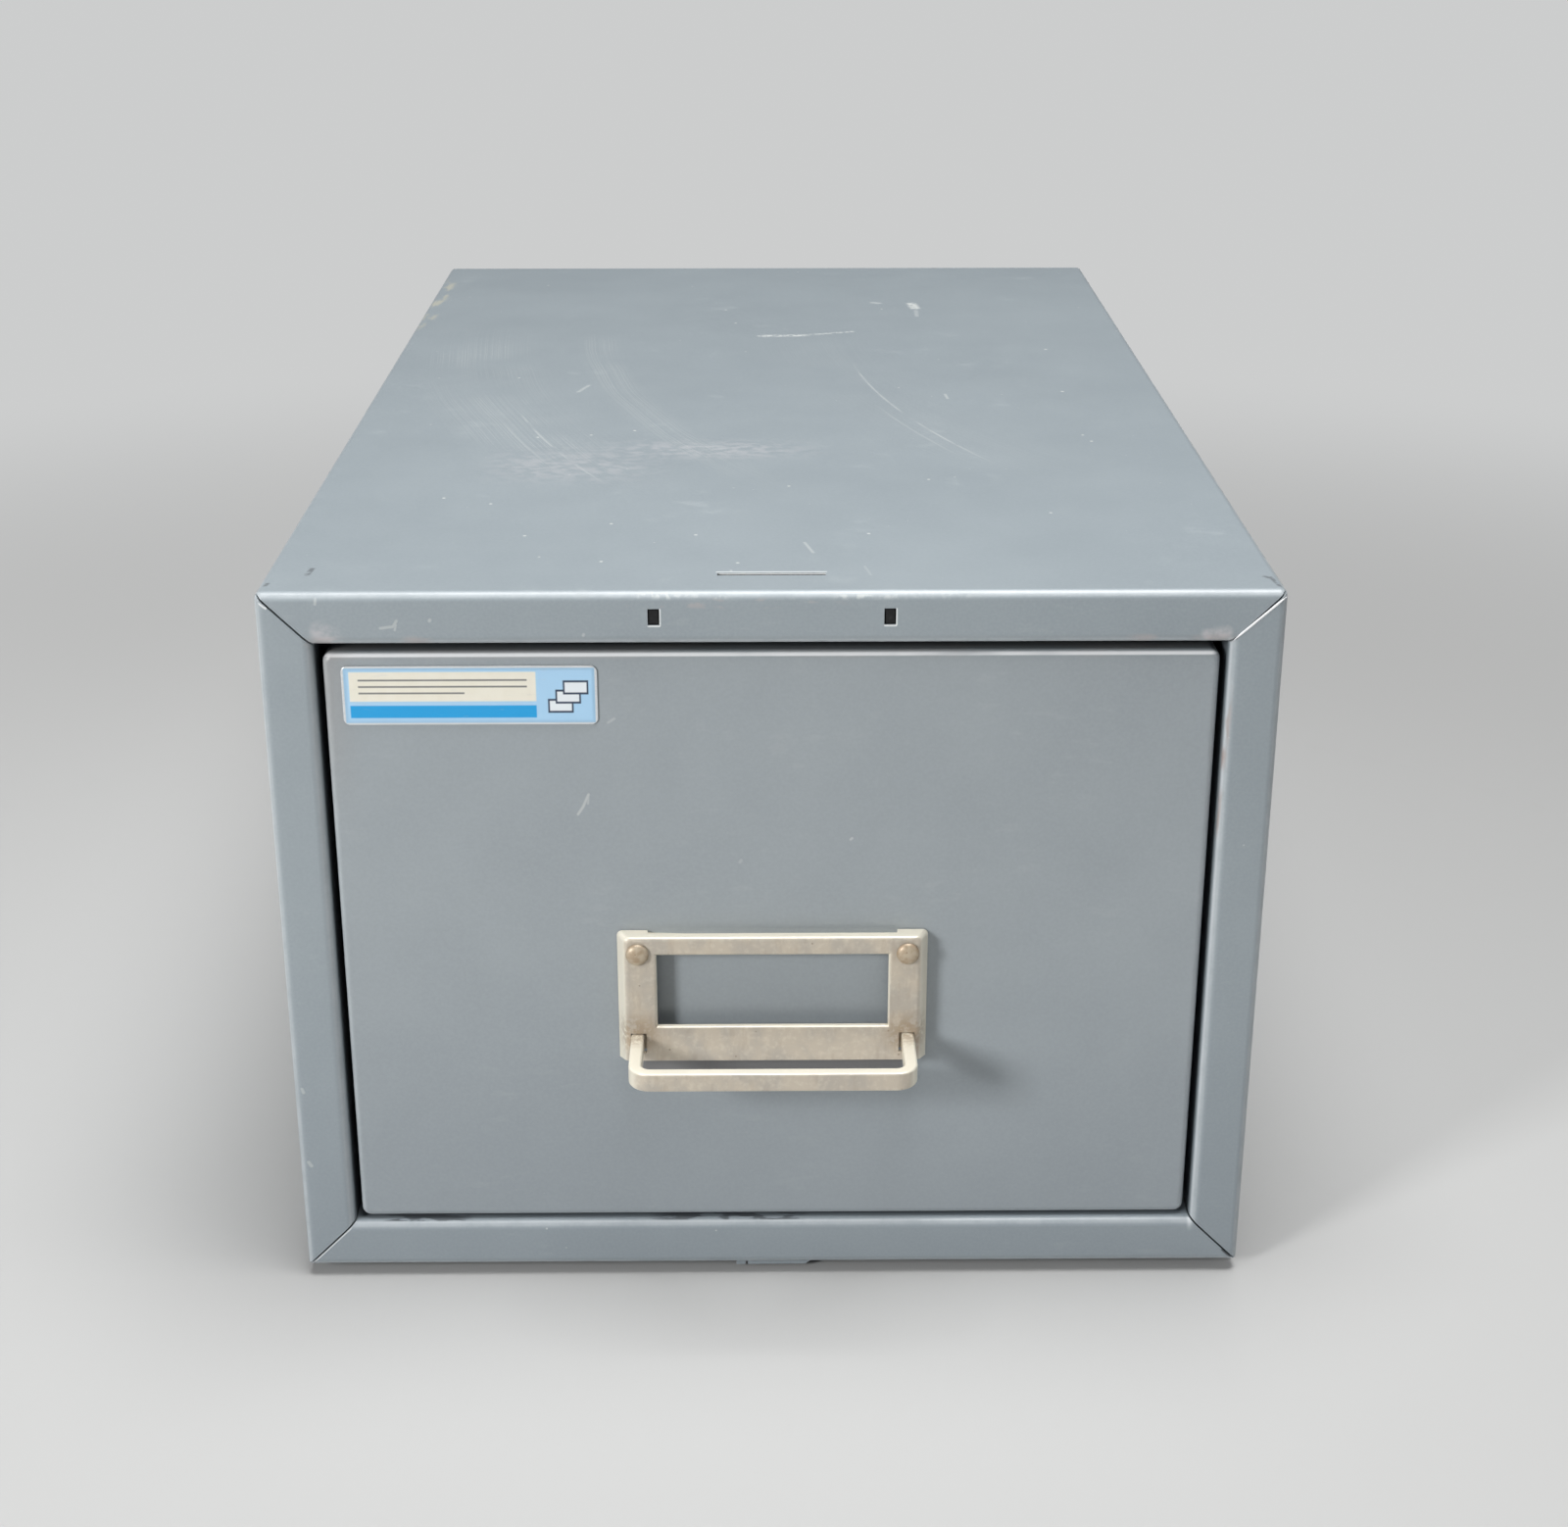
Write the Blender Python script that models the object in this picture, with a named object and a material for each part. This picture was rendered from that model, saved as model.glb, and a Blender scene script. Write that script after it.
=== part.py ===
"""Index card drawer: a steel case with one drawer, a plated label holder and pull, and a follower inside.

Metres, +Z up. The front of the case faces -Y. The origin is on the ground, at the middle of the whole
object's width and depth. Most meshes are written in case coordinates: x from the middle, y as depth
behind the case's front plane, z as height above the case's bottom edge.
"""

import math

import bmesh
import bpy
from mathutils import Matrix, Vector

# Case, in folded sheet steel
CASE_WIDTH = 0.2445
CASE_HEIGHT = 0.1855
CASE_DEPTH = 0.4064
SHEET = 0.0009
FRAME_WIDTH = 0.0131
BEND_RADIUS = 0.0019
CASE_CORNER_RADIUS = 0.0020
SIDE_RETURN = 0.0120
SHELF_RETURN = 0.0260
MITRE_GAP = 0.0005
BOTTOM_FLANGE = 0.0090
BOTTOM_FLANGE_START = 0.0300
BACK_FLANGE = 0.0100
BACK_RECESS = 0.0008
BACK_CORNER = 0.0030

# Openings in the case
FLANGE_HOLE_WIDTH = 0.0028
FLANGE_HOLE_HEIGHT = 0.0041
FLANGE_HOLE_SPACING = 0.0560
FLANGE_HOLE_DROP = 0.0062
TOP_SLOT_LENGTH = 0.0262
TOP_SLOT_WIDTH = 0.0018
TOP_SLOT_DEPTH = 0.0140
STACKING_TAB_WIDTH = 0.0193
STACKING_TAB_DROP = 0.0018
STACKING_TAB_NOTCH = 0.0012

# Stacking clip behind the top flange
CLIP_WIDTH = 0.0720
CLIP_DROP = 0.0090
CLIP_SHELF = 0.0100
CLIP_SHEET = 0.0008
CLIP_BEND = 0.0010
CLIP_LUG_CLEARANCE = 0.0003
CLIP_LUG_RECESS = 0.0003

# Clearances
CONTACT_GAP = 0.0003
GLUE_GAP = 0.0001
DRAWER_SIDE_CLEARANCE = 0.0017
DRAWER_TOP_CLEARANCE = 0.0026
DRAWER_BOTTOM_CLEARANCE = 0.0008
DRAWER_REAR_CLEARANCE = 0.0060
OVERRUN = 0.0010

# Feet and glides, pressed into holes
FOOT_STAND = 0.0030
FOOT_RADIUS = 0.0065
FOOT_SOLE_RADIUS = 0.0055
FOOT_STEM_RADIUS = 0.0022
FOOT_BARB_RADIUS = 0.0034
FOOT_BARB_HEIGHT = 0.0014
FOOT_INSET_X = 0.0260
FOOT_INSET_FRONT = 0.0420
FOOT_INSET_REAR = 0.0300
GLIDE_RADIUS = 0.0045
GLIDE_STEM_RADIUS = 0.0016
GLIDE_BARB_RADIUS = 0.0025
GLIDE_BARB_HEIGHT = 0.0010
GLIDE_INSET = 0.01915
GLIDE_DEPTH = 0.0202

# Drawer front
FRONT_RECESS = 0.0020
FRONT_DEPTH = 0.0120
FRONT_EDGE_RADIUS = 0.0018
FRONT_CORNER_RADIUS = 0.0024

# Tray, drawer back and shoes
TRAY_SIDE_HEIGHT = 0.1000
TRAY_FLOOR_RISE = 0.0006
HEM_RADIUS = 0.0009
HEM_DROP = 0.0060
TRAY_BEND = 0.0016
DRAWER_BACK_FLANGE = 0.0100
DRAWER_BACK_LOW = 0.0060
DRAWER_BACK_CORNER = 0.0020
SHOE_LENGTH = 0.0250
SHOE_FROM_REAR = 0.0180
SHOE_SIDE_CLEARANCE = 0.0006
SHOE_HEIGHT_CLEARANCE = 0.0004
SHOE_CHAMFER = 0.0015
SHOE_RIVET_RADIUS = 0.0018
SHOE_RIVET_HEAD = 0.0034
SHOE_RIVET_HEAD_HEIGHT = 0.0012
SHOE_RIVET_BITE = 0.0060

# Runners on the case walls
RUNNER_LOW = 0.0150
RUNNER_HEIGHT = 0.0140
RUNNER_REACH = 0.0108
RUNNER_START = 0.0160
RUNNER_BEND = 0.0012

# Label holder and pull
HOLDER_FACE_WIDTH = 0.0737
HOLDER_FOOT_WIDTH = 0.0777
HOLDER_LOW = 0.0624
HOLDER_HEIGHT = 0.0343
HOLDER_STAND = 0.0050
HOLDER_SHEET = 0.0010
HOLDER_EDGE_RADIUS = 0.0009
HOLDER_LIP = 0.0027
HOLDER_EAR_WIDTH = 0.0077
WINDOW_WIDTH = 0.0578
WINDOW_HEIGHT = 0.0197
WINDOW_RISE = 0.0096
HOLDER_RIVET_SPACING = 0.0673
HOLDER_RIVET_RISE = 0.0299
RIVET_HEAD_RADIUS = 0.0029
RIVET_HEAD_HEIGHT = 0.0014
RIVET_SHANK_RADIUS = 0.0014
RIVET_TAIL_RADIUS = 0.0024
RIVET_TAIL_HEIGHT = 0.0009
PULL_SPACING = 0.0680
PULL_THICKNESS = 0.0032
PULL_HEIGHT = 0.0049
PULL_RISE = 0.0025
PULL_REACH = 0.0207
PULL_CORNER_RADIUS = 0.0039
PULL_FOOT_BEND = 0.0019
PULL_FOOT_REACH = 0.0040
PULL_EDGE_RADIUS = 0.0009
PULL_SLOT_CLEARANCE = 0.0004

# Foil label at the upper left of the drawer front
LABEL_WIDTH = 0.0612
LABEL_HEIGHT = 0.0150
LABEL_THICKNESS = 0.0003
LABEL_RADIUS = 0.0016
LABEL_INSET_SIDE = 0.0044
LABEL_INSET_TOP = 0.0031

# Follower rails and carriage
RAIL_GAP = 0.0142
RAIL_WIDTH = 0.0064
RAIL_HEIGHT = 0.0080
RAIL_BEND = 0.0010
RAIL_START = 0.0200
RAIL_END_CLEARANCE = 0.0120
CARRIAGE_LENGTH = 0.0560
CARRIAGE_CLEARANCE = 0.0005
CARRIAGE_HOOK = 0.0045
CARRIAGE_BEND = 0.0011
CARRIAGE_LEAD = 0.0030
CARRIAGE_REST = 0.0060
EAR_SPACING = 0.0190
EAR_SHEET = 0.0010
EAR_HEIGHT = 0.0140
EAR_LENGTH = 0.0100

# Follower plate
FOLLOWER_SIDE_CLEARANCE = 0.0030
FOLLOWER_LOW = 0.0025
FOLLOWER_HEIGHT = 0.1080
FOLLOWER_FLANGE = 0.0070
FOLLOWER_EDGE_RADIUS = 0.0016
FOLLOWER_CORNER_RADIUS = 0.0100
FOLLOWER_NOTCH_CLEARANCE = 0.0015
FOLLOWER_FOOT_WIDTH = 0.0240
FOLLOWER_FOOT_LENGTH = 0.0260
FOLLOWER_RIVET_FIRST = 0.0100
FOLLOWER_RIVET_PITCH = 0.0110

# Brake lever, its pin and spring
LEVER_WIDTH = 0.0100
LEVER_THICKNESS = 0.0020
LEVER_BEND = 0.0060
LEVER_BOSS_RADIUS = 0.0034
LEVER_ARM_HEIGHT = 0.0340
LEVER_ARM_LEAN = 0.0070
LEVER_PAD_HEIGHT = 0.0140
LEVER_TOE_LEAD = 0.0012
LEVER_SLOT_FRONT = 0.0038
LEVER_SLOT_REAR = 0.0066
LEVER_SLOT_CLEARANCE = 0.0008
PIVOT_DEPTH = 0.0380
PIVOT_RISE = 0.0090
PIN_RADIUS = 0.0015
PIN_HOLE_CLEARANCE = 0.0003
PIN_HEAD_RADIUS = 0.0024
PIN_HEAD_LENGTH = 0.0008
SPRING_WIRE_RADIUS = 0.00035
SPRING_COIL_RADIUS = 0.0029
SPRING_PITCH = 0.00095
SPRING_LEG = 0.0110
SPRING_FOOT_OVERLAP = 0.0040
SPRING_TURNS = 3.25

# Smoothness of round shapes
BEND_STEPS = 4
PULL_STEPS = 8
CORNER_STEPS = 4
DOME_STEPS = 4
ROUND_SIDES = 24
SMALL_ROUND_SIDES = 16
SPRING_POINTS_PER_TURN = 12
SHARP_EDGE_DEGREES = 35
MERGE_DISTANCE = 0.0000001

# Places that several pieces share, in case coordinates
HALF_WIDTH = CASE_WIDTH / 2
WALL_INNER = HALF_WIDTH - SHEET
OPENING_HALF = HALF_WIDTH - FRAME_WIDTH
FRONT_HALF_WIDTH = OPENING_HALF - DRAWER_SIDE_CLEARANCE
FRONT_LOW = FRAME_WIDTH + DRAWER_BOTTOM_CLEARANCE
FRONT_HIGH = CASE_HEIGHT - FRAME_WIDTH - DRAWER_TOP_CLEARANCE
FRONT_INNER = FRONT_RECESS + SHEET
TRAY_HALF_WIDTH = FRONT_HALF_WIDTH - SHEET - 2 * HEM_RADIUS - 2 * CONTACT_GAP
TRAY_INNER = TRAY_HALF_WIDTH - SHEET
TRAY_LOW = FRONT_LOW + SHEET + TRAY_FLOOR_RISE
TRAY_FLOOR = TRAY_LOW + SHEET
TRAY_START = FRONT_INNER + CONTACT_GAP
CASE_BACK_INNER = CASE_DEPTH - BACK_RECESS - SHEET
TRAY_END = CASE_BACK_INNER - DRAWER_REAR_CLEARANCE
SHOE_START = TRAY_END - SHOE_FROM_REAR - SHOE_LENGTH
RUNNER_OUTER = WALL_INNER - CONTACT_GAP
RUNNER_END = CASE_DEPTH - BACK_RECESS - BACK_FLANGE - OVERRUN
RAIL_LOW = TRAY_FLOOR + CONTACT_GAP
RAIL_TOP = RAIL_LOW + RAIL_HEIGHT
RAIL_HALF_WIDTH = RAIL_GAP / 2 + RAIL_WIDTH
RAIL_END = TRAY_END - RAIL_END_CLEARANCE
CARRIAGE_UNDER = RAIL_TOP + CONTACT_GAP
CARRIAGE_TOP = CARRIAGE_UNDER + SHEET
CARRIAGE_END = RAIL_END - CARRIAGE_REST
CARRIAGE_START = CARRIAGE_END - CARRIAGE_LENGTH
FOLLOWER_FACE = CARRIAGE_START + CARRIAGE_LEAD
FOOT_PLATE_LOW = CARRIAGE_TOP + CONTACT_GAP
FOOT_PLATE_TOP = FOOT_PLATE_LOW + SHEET
PIVOT = Vector((0, FOLLOWER_FACE + PIVOT_DEPTH, CARRIAGE_TOP + PIVOT_RISE))
HOLDER_FRONT = FRONT_RECESS - HOLDER_STAND
HOLDER_TOP = HOLDER_LOW + HOLDER_HEIGHT
PULL_LOW = HOLDER_LOW + PULL_RISE
PULL_FRONT = HOLDER_FRONT - PULL_REACH
FLANGE_HOLE_MIDDLE = CASE_HEIGHT - FLANGE_HOLE_DROP
OBJECT_FRONT_Y = -(CASE_DEPTH + PULL_FRONT) / 2


def make_material(name, colour, roughness, metallic):
    material = bpy.data.materials.new(name)
    material.use_nodes = True
    shader = material.node_tree.nodes["Principled BSDF"]
    shader.inputs["Base Color"].default_value = (*colour, 1)
    shader.inputs["Roughness"].default_value = roughness
    shader.inputs["Metallic"].default_value = metallic
    material.diffuse_color = (*colour, 1)
    return material


def make_datum(name, parent, location):
    """An empty that carries pieces which stay or move together."""
    datum = bpy.data.objects.new(name, None)
    bpy.context.collection.objects.link(datum)
    datum.parent = parent
    datum.location = location
    return datum


def make_object(name, shape, material, parent, location=(0, 0, 0)):
    """An object from a bmesh, smooth where its faces meet at a small angle."""
    bmesh.ops.remove_doubles(shape, verts=shape.verts, dist=MERGE_DISTANCE)
    bmesh.ops.recalc_face_normals(shape, faces=shape.faces)
    mesh = bpy.data.meshes.new(name)
    shape.to_mesh(mesh)
    shape.free()
    mesh.shade_smooth()
    mesh.set_sharp_from_angle(angle=math.radians(SHARP_EDGE_DEGREES))
    piece = bpy.data.objects.new(name, mesh)
    bpy.context.collection.objects.link(piece)
    piece.parent = parent
    piece.location = location
    if material:
        mesh.materials.append(material)
    return piece


def combine(piece, helpers, operation):
    """Cuts the helpers from the piece, or joins them to it, with a Boolean for each."""
    for helper in helpers:
        helper.hide_render = True
        helper.display_type = "WIRE"
        modifier = piece.modifiers.new(helper.name, "BOOLEAN")
        modifier.operation = operation
        modifier.solver = "EXACT"
        modifier.object = helper


def loft(rings):
    """A closed body through rings of as many points each, with its two ends filled."""
    shape = bmesh.new()
    loops = [[shape.verts.new(point) for point in ring] for ring in rings]
    for near, far in zip(loops, loops[1:]):
        for index in range(len(near)):
            following = (index + 1) % len(near)
            shape.faces.new((near[index], near[following], far[following], far[index]))
    shape.faces.new(loops[0])
    shape.faces.new(reversed(loops[-1]))
    return shape


def prism(outline, axis, low, high):
    """An outline in the plane across an axis, extruded from low to high along it."""
    place = {
        "X": lambda a, b, along: (along, a, b),
        "Y": lambda a, b, along: (a, along, b),
        "Z": lambda a, b, along: (a, b, along),
    }[axis]
    return loft([[place(a, b, along) for a, b in outline] for along in (low, high)])


def box(low, high):
    corners = ((low[0], low[1]), (high[0], low[1]), (high[0], high[1]), (low[0], high[1]))
    return prism(corners, "Z", low[2], high[2])


def sheet_outline(path, thickness, radii, steps=BEND_STEPS):
    """The closed outline of a bent strip: its middle line's corners, and one bend radius or one a corner."""
    corners = [Vector(corner) for corner in path]
    if not isinstance(radii, (list, tuple)):
        radii = [radii] * len(corners)
    middle = []
    for index, corner in enumerate(corners):
        arriving = (corner - corners[index - 1]).normalized() if index else None
        leaving = (corners[index + 1] - corner).normalized() if index < len(corners) - 1 else None
        if arriving is None or leaving is None:
            along = leaving or arriving
            middle.append((corner, Vector((-along.y, along.x))))
            continue
        radius = radii[index - 1]
        turn = math.atan2(arriving.cross(leaving), arriving.dot(leaving))
        normal = Vector((-arriving.y, arriving.x))
        toward_centre = math.copysign(radius, turn)
        centre = corner - arriving * radius * math.tan(abs(turn) / 2) + normal * toward_centre
        for step in range(steps + 1):
            turned_normal = Matrix.Rotation(turn * step / steps, 2) @ normal
            middle.append((centre - turned_normal * toward_centre, turned_normal))
    kept = [middle[0]]
    for point, normal in middle[1:]:
        if (point - kept[-1][0]).length > MERGE_DISTANCE:
            kept.append((point, normal))
    left = [point + normal * thickness / 2 for point, normal in kept]
    right = [point - normal * thickness / 2 for point, normal in reversed(kept)]
    return left + right


def rounded_rectangle(width, height, radius):
    """Points round a rectangle about zero with round corners."""
    points = []
    for side_x, side_z, start in ((1, 1, 0), (-1, 1, 1), (-1, -1, 2), (1, -1, 3)):
        centre = Vector((side_x * (width / 2 - radius), side_z * (height / 2 - radius)))
        for step in range(CORNER_STEPS + 1):
            angle = (start + step / CORNER_STEPS) * math.pi / 2
            points.append(centre + Vector((math.cos(angle), math.sin(angle))) * radius)
    return points


def pan(width, height, depth, thickness, edge_radius, corner_radius):
    """A shallow pan about zero: its face at y = 0 looks to -Y, and its four walls run back to +Y."""
    def arc(radius):
        """(inset, back) pairs round the face's edge, from the face to a wall."""
        for step in range(BEND_STEPS + 1):
            angle = step / BEND_STEPS * math.pi / 2
            yield edge_radius - radius * math.sin(angle), edge_radius - radius * math.cos(angle)

    outer, inner = list(arc(edge_radius)), list(arc(edge_radius - thickness))
    profile = outer + [(0, depth), (thickness, depth)] + inner[::-1]
    rings = []
    for inset, back in profile:
        ring = rounded_rectangle(width - 2 * inset, height - 2 * inset, corner_radius - inset)
        rings.append([(point.x, back, point.y) for point in ring])
    return loft(rings)


def turned(profile, sides):
    """A round body about Z from (radius, height) pairs, which start and end on the axis."""
    shape = bmesh.new()
    rings = []
    for radius, height in profile:
        count = sides if radius else 1
        turn = 2 * math.pi / sides
        rings.append(
            [
                shape.verts.new((radius * math.cos(turn * side), radius * math.sin(turn * side), height))
                for side in range(count)
            ]
        )
    for low, high in zip(rings, rings[1:]):
        for side in range(sides):
            after = (side + 1) % sides
            corners = [low[side % len(low)], low[after % len(low)]]
            corners += [high[after % len(high)], high[side % len(high)]]
            shape.faces.new(list(dict.fromkeys(corners)))
    return shape


def dome(radius, height, base):
    """(radius, height) pairs of a low dome on a base, from its rim to its top."""
    angles = [step / DOME_STEPS * math.pi / 2 for step in range(DOME_STEPS)]
    rim = [(radius * math.cos(angle), base + height * math.sin(angle)) for angle in angles]
    return rim + [(0, base + height)]


def rod(name, radius, start, end, parent, sides=SMALL_ROUND_SIDES):
    """A round cutter between two points along one axis."""
    along = Vector(end) - Vector(start)
    shape = turned([(0, 0), (radius, 0), (radius, along.length), (0, along.length)], sides)
    piece = make_object(name, shape, None, parent, start)
    piece.rotation_euler = along.to_track_quat("Z", "Y").to_euler()
    return piece


def case_profile(depth_of_return):
    """The folded sheet's outline, as (depth, distance inward from the outer face)."""
    path = (
        (depth_of_return, FRAME_WIDTH - SHEET / 2),
        (SHEET / 2, FRAME_WIDTH - SHEET / 2),
        (SHEET / 2, SHEET / 2),
        (CASE_DEPTH, SHEET / 2),
    )
    return sheet_outline(path, SHEET, BEND_RADIUS)


def swept_case(profile, sections):
    """The profile carried through sections, each of which gives x and z for a distance inward."""
    rings = []
    for section in sections:
        places = [(section(inward), depth) for depth, inward in profile]
        rings.append([(across, depth, height) for (across, height), depth in places])
    return loft(rings)


def mitre_share():
    """Half of the mitre's gap, measured along x or z."""
    return MITRE_GAP / math.sqrt(2)


def wrapper_sections():
    """From the bottom of the left wall, over the top, to the bottom of the right wall."""
    def foot(side):
        return lambda inward: (side * (HALF_WIDTH - inward), inward + mitre_share())

    def corner(side, angle):
        def section(inward):
            if inward >= CASE_CORNER_RADIUS:
                return side * (HALF_WIDTH - inward), CASE_HEIGHT - inward
            reach = CASE_CORNER_RADIUS - inward
            across = HALF_WIDTH - CASE_CORNER_RADIUS + reach * math.cos(angle)
            return side * across, CASE_HEIGHT - CASE_CORNER_RADIUS + reach * math.sin(angle)
        return section

    angles = [step / CORNER_STEPS * math.pi / 2 for step in range(CORNER_STEPS + 1)]
    left = [corner(-1, angle) for angle in angles]
    right = [corner(1, angle) for angle in reversed(angles)]
    return [foot(-1), *left, *right, foot(1)]


def mitre_cutter(side, parent):
    """A thin plate along a top corner's diagonal: it parts the face flanges and, behind them, the returns."""
    outward = Vector((side * HALF_WIDTH, CASE_HEIGHT))
    diagonal = Vector((-side, -1))
    across = Vector((1, -side)).normalized() * MITRE_GAP / 2
    return_start = FRAME_WIDTH - BEND_RADIUS - SHEET
    inner_end = FRAME_WIDTH + OVERRUN
    outline = (
        (-OVERRUN, -OVERRUN),
        (inner_end, -OVERRUN),
        (inner_end, SIDE_RETURN + OVERRUN),
        (return_start, SIDE_RETURN + OVERRUN),
        (return_start, 2 * SHEET),
        (-OVERRUN, 2 * SHEET),
    )
    rings = []
    for shift in (across, -across):
        places = [(outward + diagonal * inward + shift, depth) for inward, depth in outline]
        rings.append([(place.x, depth, place.y) for place, depth in places])
    word = "left" if side < 0 else "right"
    return make_object(f"mitre_cut_{word}", loft(rings), None, parent)


def build_case_wrapper(parent, material):
    profile = case_profile(SIDE_RETURN)
    wrapper = make_object("case_wrapper", swept_case(profile, wrapper_sections()), material, parent)
    cutters = []
    for side, word in ((-1, "left"), (1, "right")):
        cutters.append(mitre_cutter(side, parent))
        hole_left = side * FLANGE_HOLE_SPACING / 2 - FLANGE_HOLE_WIDTH / 2
        hole_low = FLANGE_HOLE_MIDDLE - FLANGE_HOLE_HEIGHT / 2
        hole = box(
            (hole_left, -OVERRUN, hole_low),
            (hole_left + FLANGE_HOLE_WIDTH, SHEET + OVERRUN, hole_low + FLANGE_HOLE_HEIGHT),
        )
        cutters.append(make_object(f"flange_hole_cut_{word}", hole, None, parent))
    cutters.append(
        make_object(
            "top_slot_cut",
            box(
                (-TOP_SLOT_LENGTH / 2, TOP_SLOT_DEPTH - TOP_SLOT_WIDTH / 2, CASE_HEIGHT - SHEET - OVERRUN),
                (TOP_SLOT_LENGTH / 2, TOP_SLOT_DEPTH + TOP_SLOT_WIDTH / 2, CASE_HEIGHT + OVERRUN),
            ),
            None,
            parent,
        )
    )
    combine(wrapper, cutters, "DIFFERENCE")


def foot_places():
    for side_x, word_x in ((-1, "left"), (1, "right")):
        for depth, word_y in ((FOOT_INSET_FRONT, "front"), (CASE_DEPTH - FOOT_INSET_REAR, "rear")):
            yield f"{word_y}_{word_x}", side_x * (HALF_WIDTH - FOOT_INSET_X), depth


def build_case_bottom(parent, material):
    profile = case_profile(SHELF_RETURN)

    def end(side):
        return lambda inward: (side * (HALF_WIDTH - inward - mitre_share()), inward)

    bottom = make_object("case_bottom", swept_case(profile, [end(-1), end(1)]), material, parent)
    joined = []
    outer = WALL_INNER - CONTACT_GAP
    for side, word in ((-1, "left"), (1, "right")):
        near, far = sorted((side * outer, side * (outer - SHEET)))
        joined.append(
            make_object(
                f"bottom_flange_{word}",
                box((near, BOTTOM_FLANGE_START, SHEET / 2), (far, CASE_DEPTH - BACK_RECESS, BOTTOM_FLANGE)),
                None,
                parent,
            )
        )
    tab_front = BEND_RADIUS + SHEET
    tab = [
        (-STACKING_TAB_WIDTH / 2, SHEET / 2),
        (-STACKING_TAB_WIDTH / 2, -STACKING_TAB_DROP),
        (STACKING_TAB_WIDTH / 2 - STACKING_TAB_NOTCH, -STACKING_TAB_DROP),
        (STACKING_TAB_WIDTH / 2, -STACKING_TAB_DROP / 2),
        (STACKING_TAB_WIDTH / 2, SHEET / 2),
    ]
    joined.append(
        make_object("stacking_tab", prism(tab, "Y", tab_front, tab_front + SHEET), None, parent)
    )
    combine(bottom, joined, "UNION")
    cutters = []
    for word, across, depth in foot_places():
        cutters.append(
            rod(
                f"foot_hole_{word}", FOOT_STEM_RADIUS + CONTACT_GAP,
                (across, depth, -OVERRUN), (across, depth, SHEET + OVERRUN), parent
            )
        )
    shelf_low, shelf_high = FRAME_WIDTH - SHEET - OVERRUN, FRAME_WIDTH + OVERRUN
    for side, word in ((-1, "left"), (1, "right")):
        across = side * (TRAY_HALF_WIDTH - GLIDE_INSET)
        cutters.append(
            rod(
                f"glide_hole_{word}", GLIDE_STEM_RADIUS + CONTACT_GAP,
                (across, GLIDE_DEPTH, shelf_low), (across, GLIDE_DEPTH, shelf_high), parent
            )
        )
    notch_left = -STACKING_TAB_WIDTH / 2 + 2 * STACKING_TAB_NOTCH
    cutters.append(
        make_object(
            "tab_notch_cut",
            box(
                (notch_left, tab_front - OVERRUN, -STACKING_TAB_DROP - OVERRUN),
                (notch_left + STACKING_TAB_NOTCH / 2, tab_front + SHEET + OVERRUN, -STACKING_TAB_DROP / 2),
            ),
            None,
            parent,
        )
    )
    combine(bottom, cutters, "DIFFERENCE")


def build_case_back(parent, material):
    half = WALL_INNER - CONTACT_GAP - SHEET - CONTACT_GAP
    low = SHEET + CONTACT_GAP
    high = CASE_HEIGHT - SHEET - CONTACT_GAP
    shape = pan(2 * half, high - low, BACK_FLANGE, SHEET, BEND_RADIUS, BACK_CORNER)
    place = (0, CASE_DEPTH - BACK_RECESS, (low + high) / 2)
    back = make_object("case_back", shape, material, parent, place)
    back.rotation_euler.z = math.pi


def build_stacking_clip(parent, material):
    upright = SHEET + CONTACT_GAP + CLIP_SHEET / 2
    shelf = CASE_HEIGHT - SHEET - CONTACT_GAP - CLIP_SHEET / 2
    path = ((upright, shelf - CLIP_DROP), (upright, shelf), (CLIP_SHELF, shelf))
    outline = sheet_outline(path, CLIP_SHEET, CLIP_BEND + CLIP_SHEET / 2)
    strip = prism(outline, "X", -CLIP_WIDTH / 2, CLIP_WIDTH / 2)
    clip = make_object("stacking_clip", strip, material, parent)
    lugs = []
    half_width = FLANGE_HOLE_WIDTH / 2 - CLIP_LUG_CLEARANCE
    half_height = FLANGE_HOLE_HEIGHT / 2 - CLIP_LUG_CLEARANCE
    for side, word in ((-1, "left"), (1, "right")):
        middle = side * FLANGE_HOLE_SPACING / 2
        low = (middle - half_width, CLIP_LUG_RECESS, FLANGE_HOLE_MIDDLE - half_height)
        high = (middle + half_width, upright, FLANGE_HOLE_MIDDLE + half_height)
        lugs.append(make_object(f"clip_lug_{word}", box(low, high), None, parent))
    combine(clip, lugs, "UNION")


def build_runners(parent, material):
    for side, word in ((-1, "left"), (1, "right")):
        web = RUNNER_OUTER - SHEET / 2
        tip = RUNNER_OUTER - RUNNER_REACH
        low = RUNNER_LOW + SHEET / 2
        high = RUNNER_LOW + RUNNER_HEIGHT - SHEET / 2
        path = ((side * tip, low), (side * web, low), (side * web, high), (side * tip, high))
        channel = prism(sheet_outline(path, SHEET, RUNNER_BEND), "Y", RUNNER_START, RUNNER_END)
        runner = make_object(f"runner_{word}", channel, material, parent)
        near, far = sorted((side * (tip + SHEET), side * web))
        stop = box((near, RUNNER_START + SHEET / 2, low), (far, RUNNER_START + SHEET + SHEET / 2, high))
        combine(runner, [make_object(f"runner_stop_{word}", stop, None, parent)], "UNION")


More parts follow.
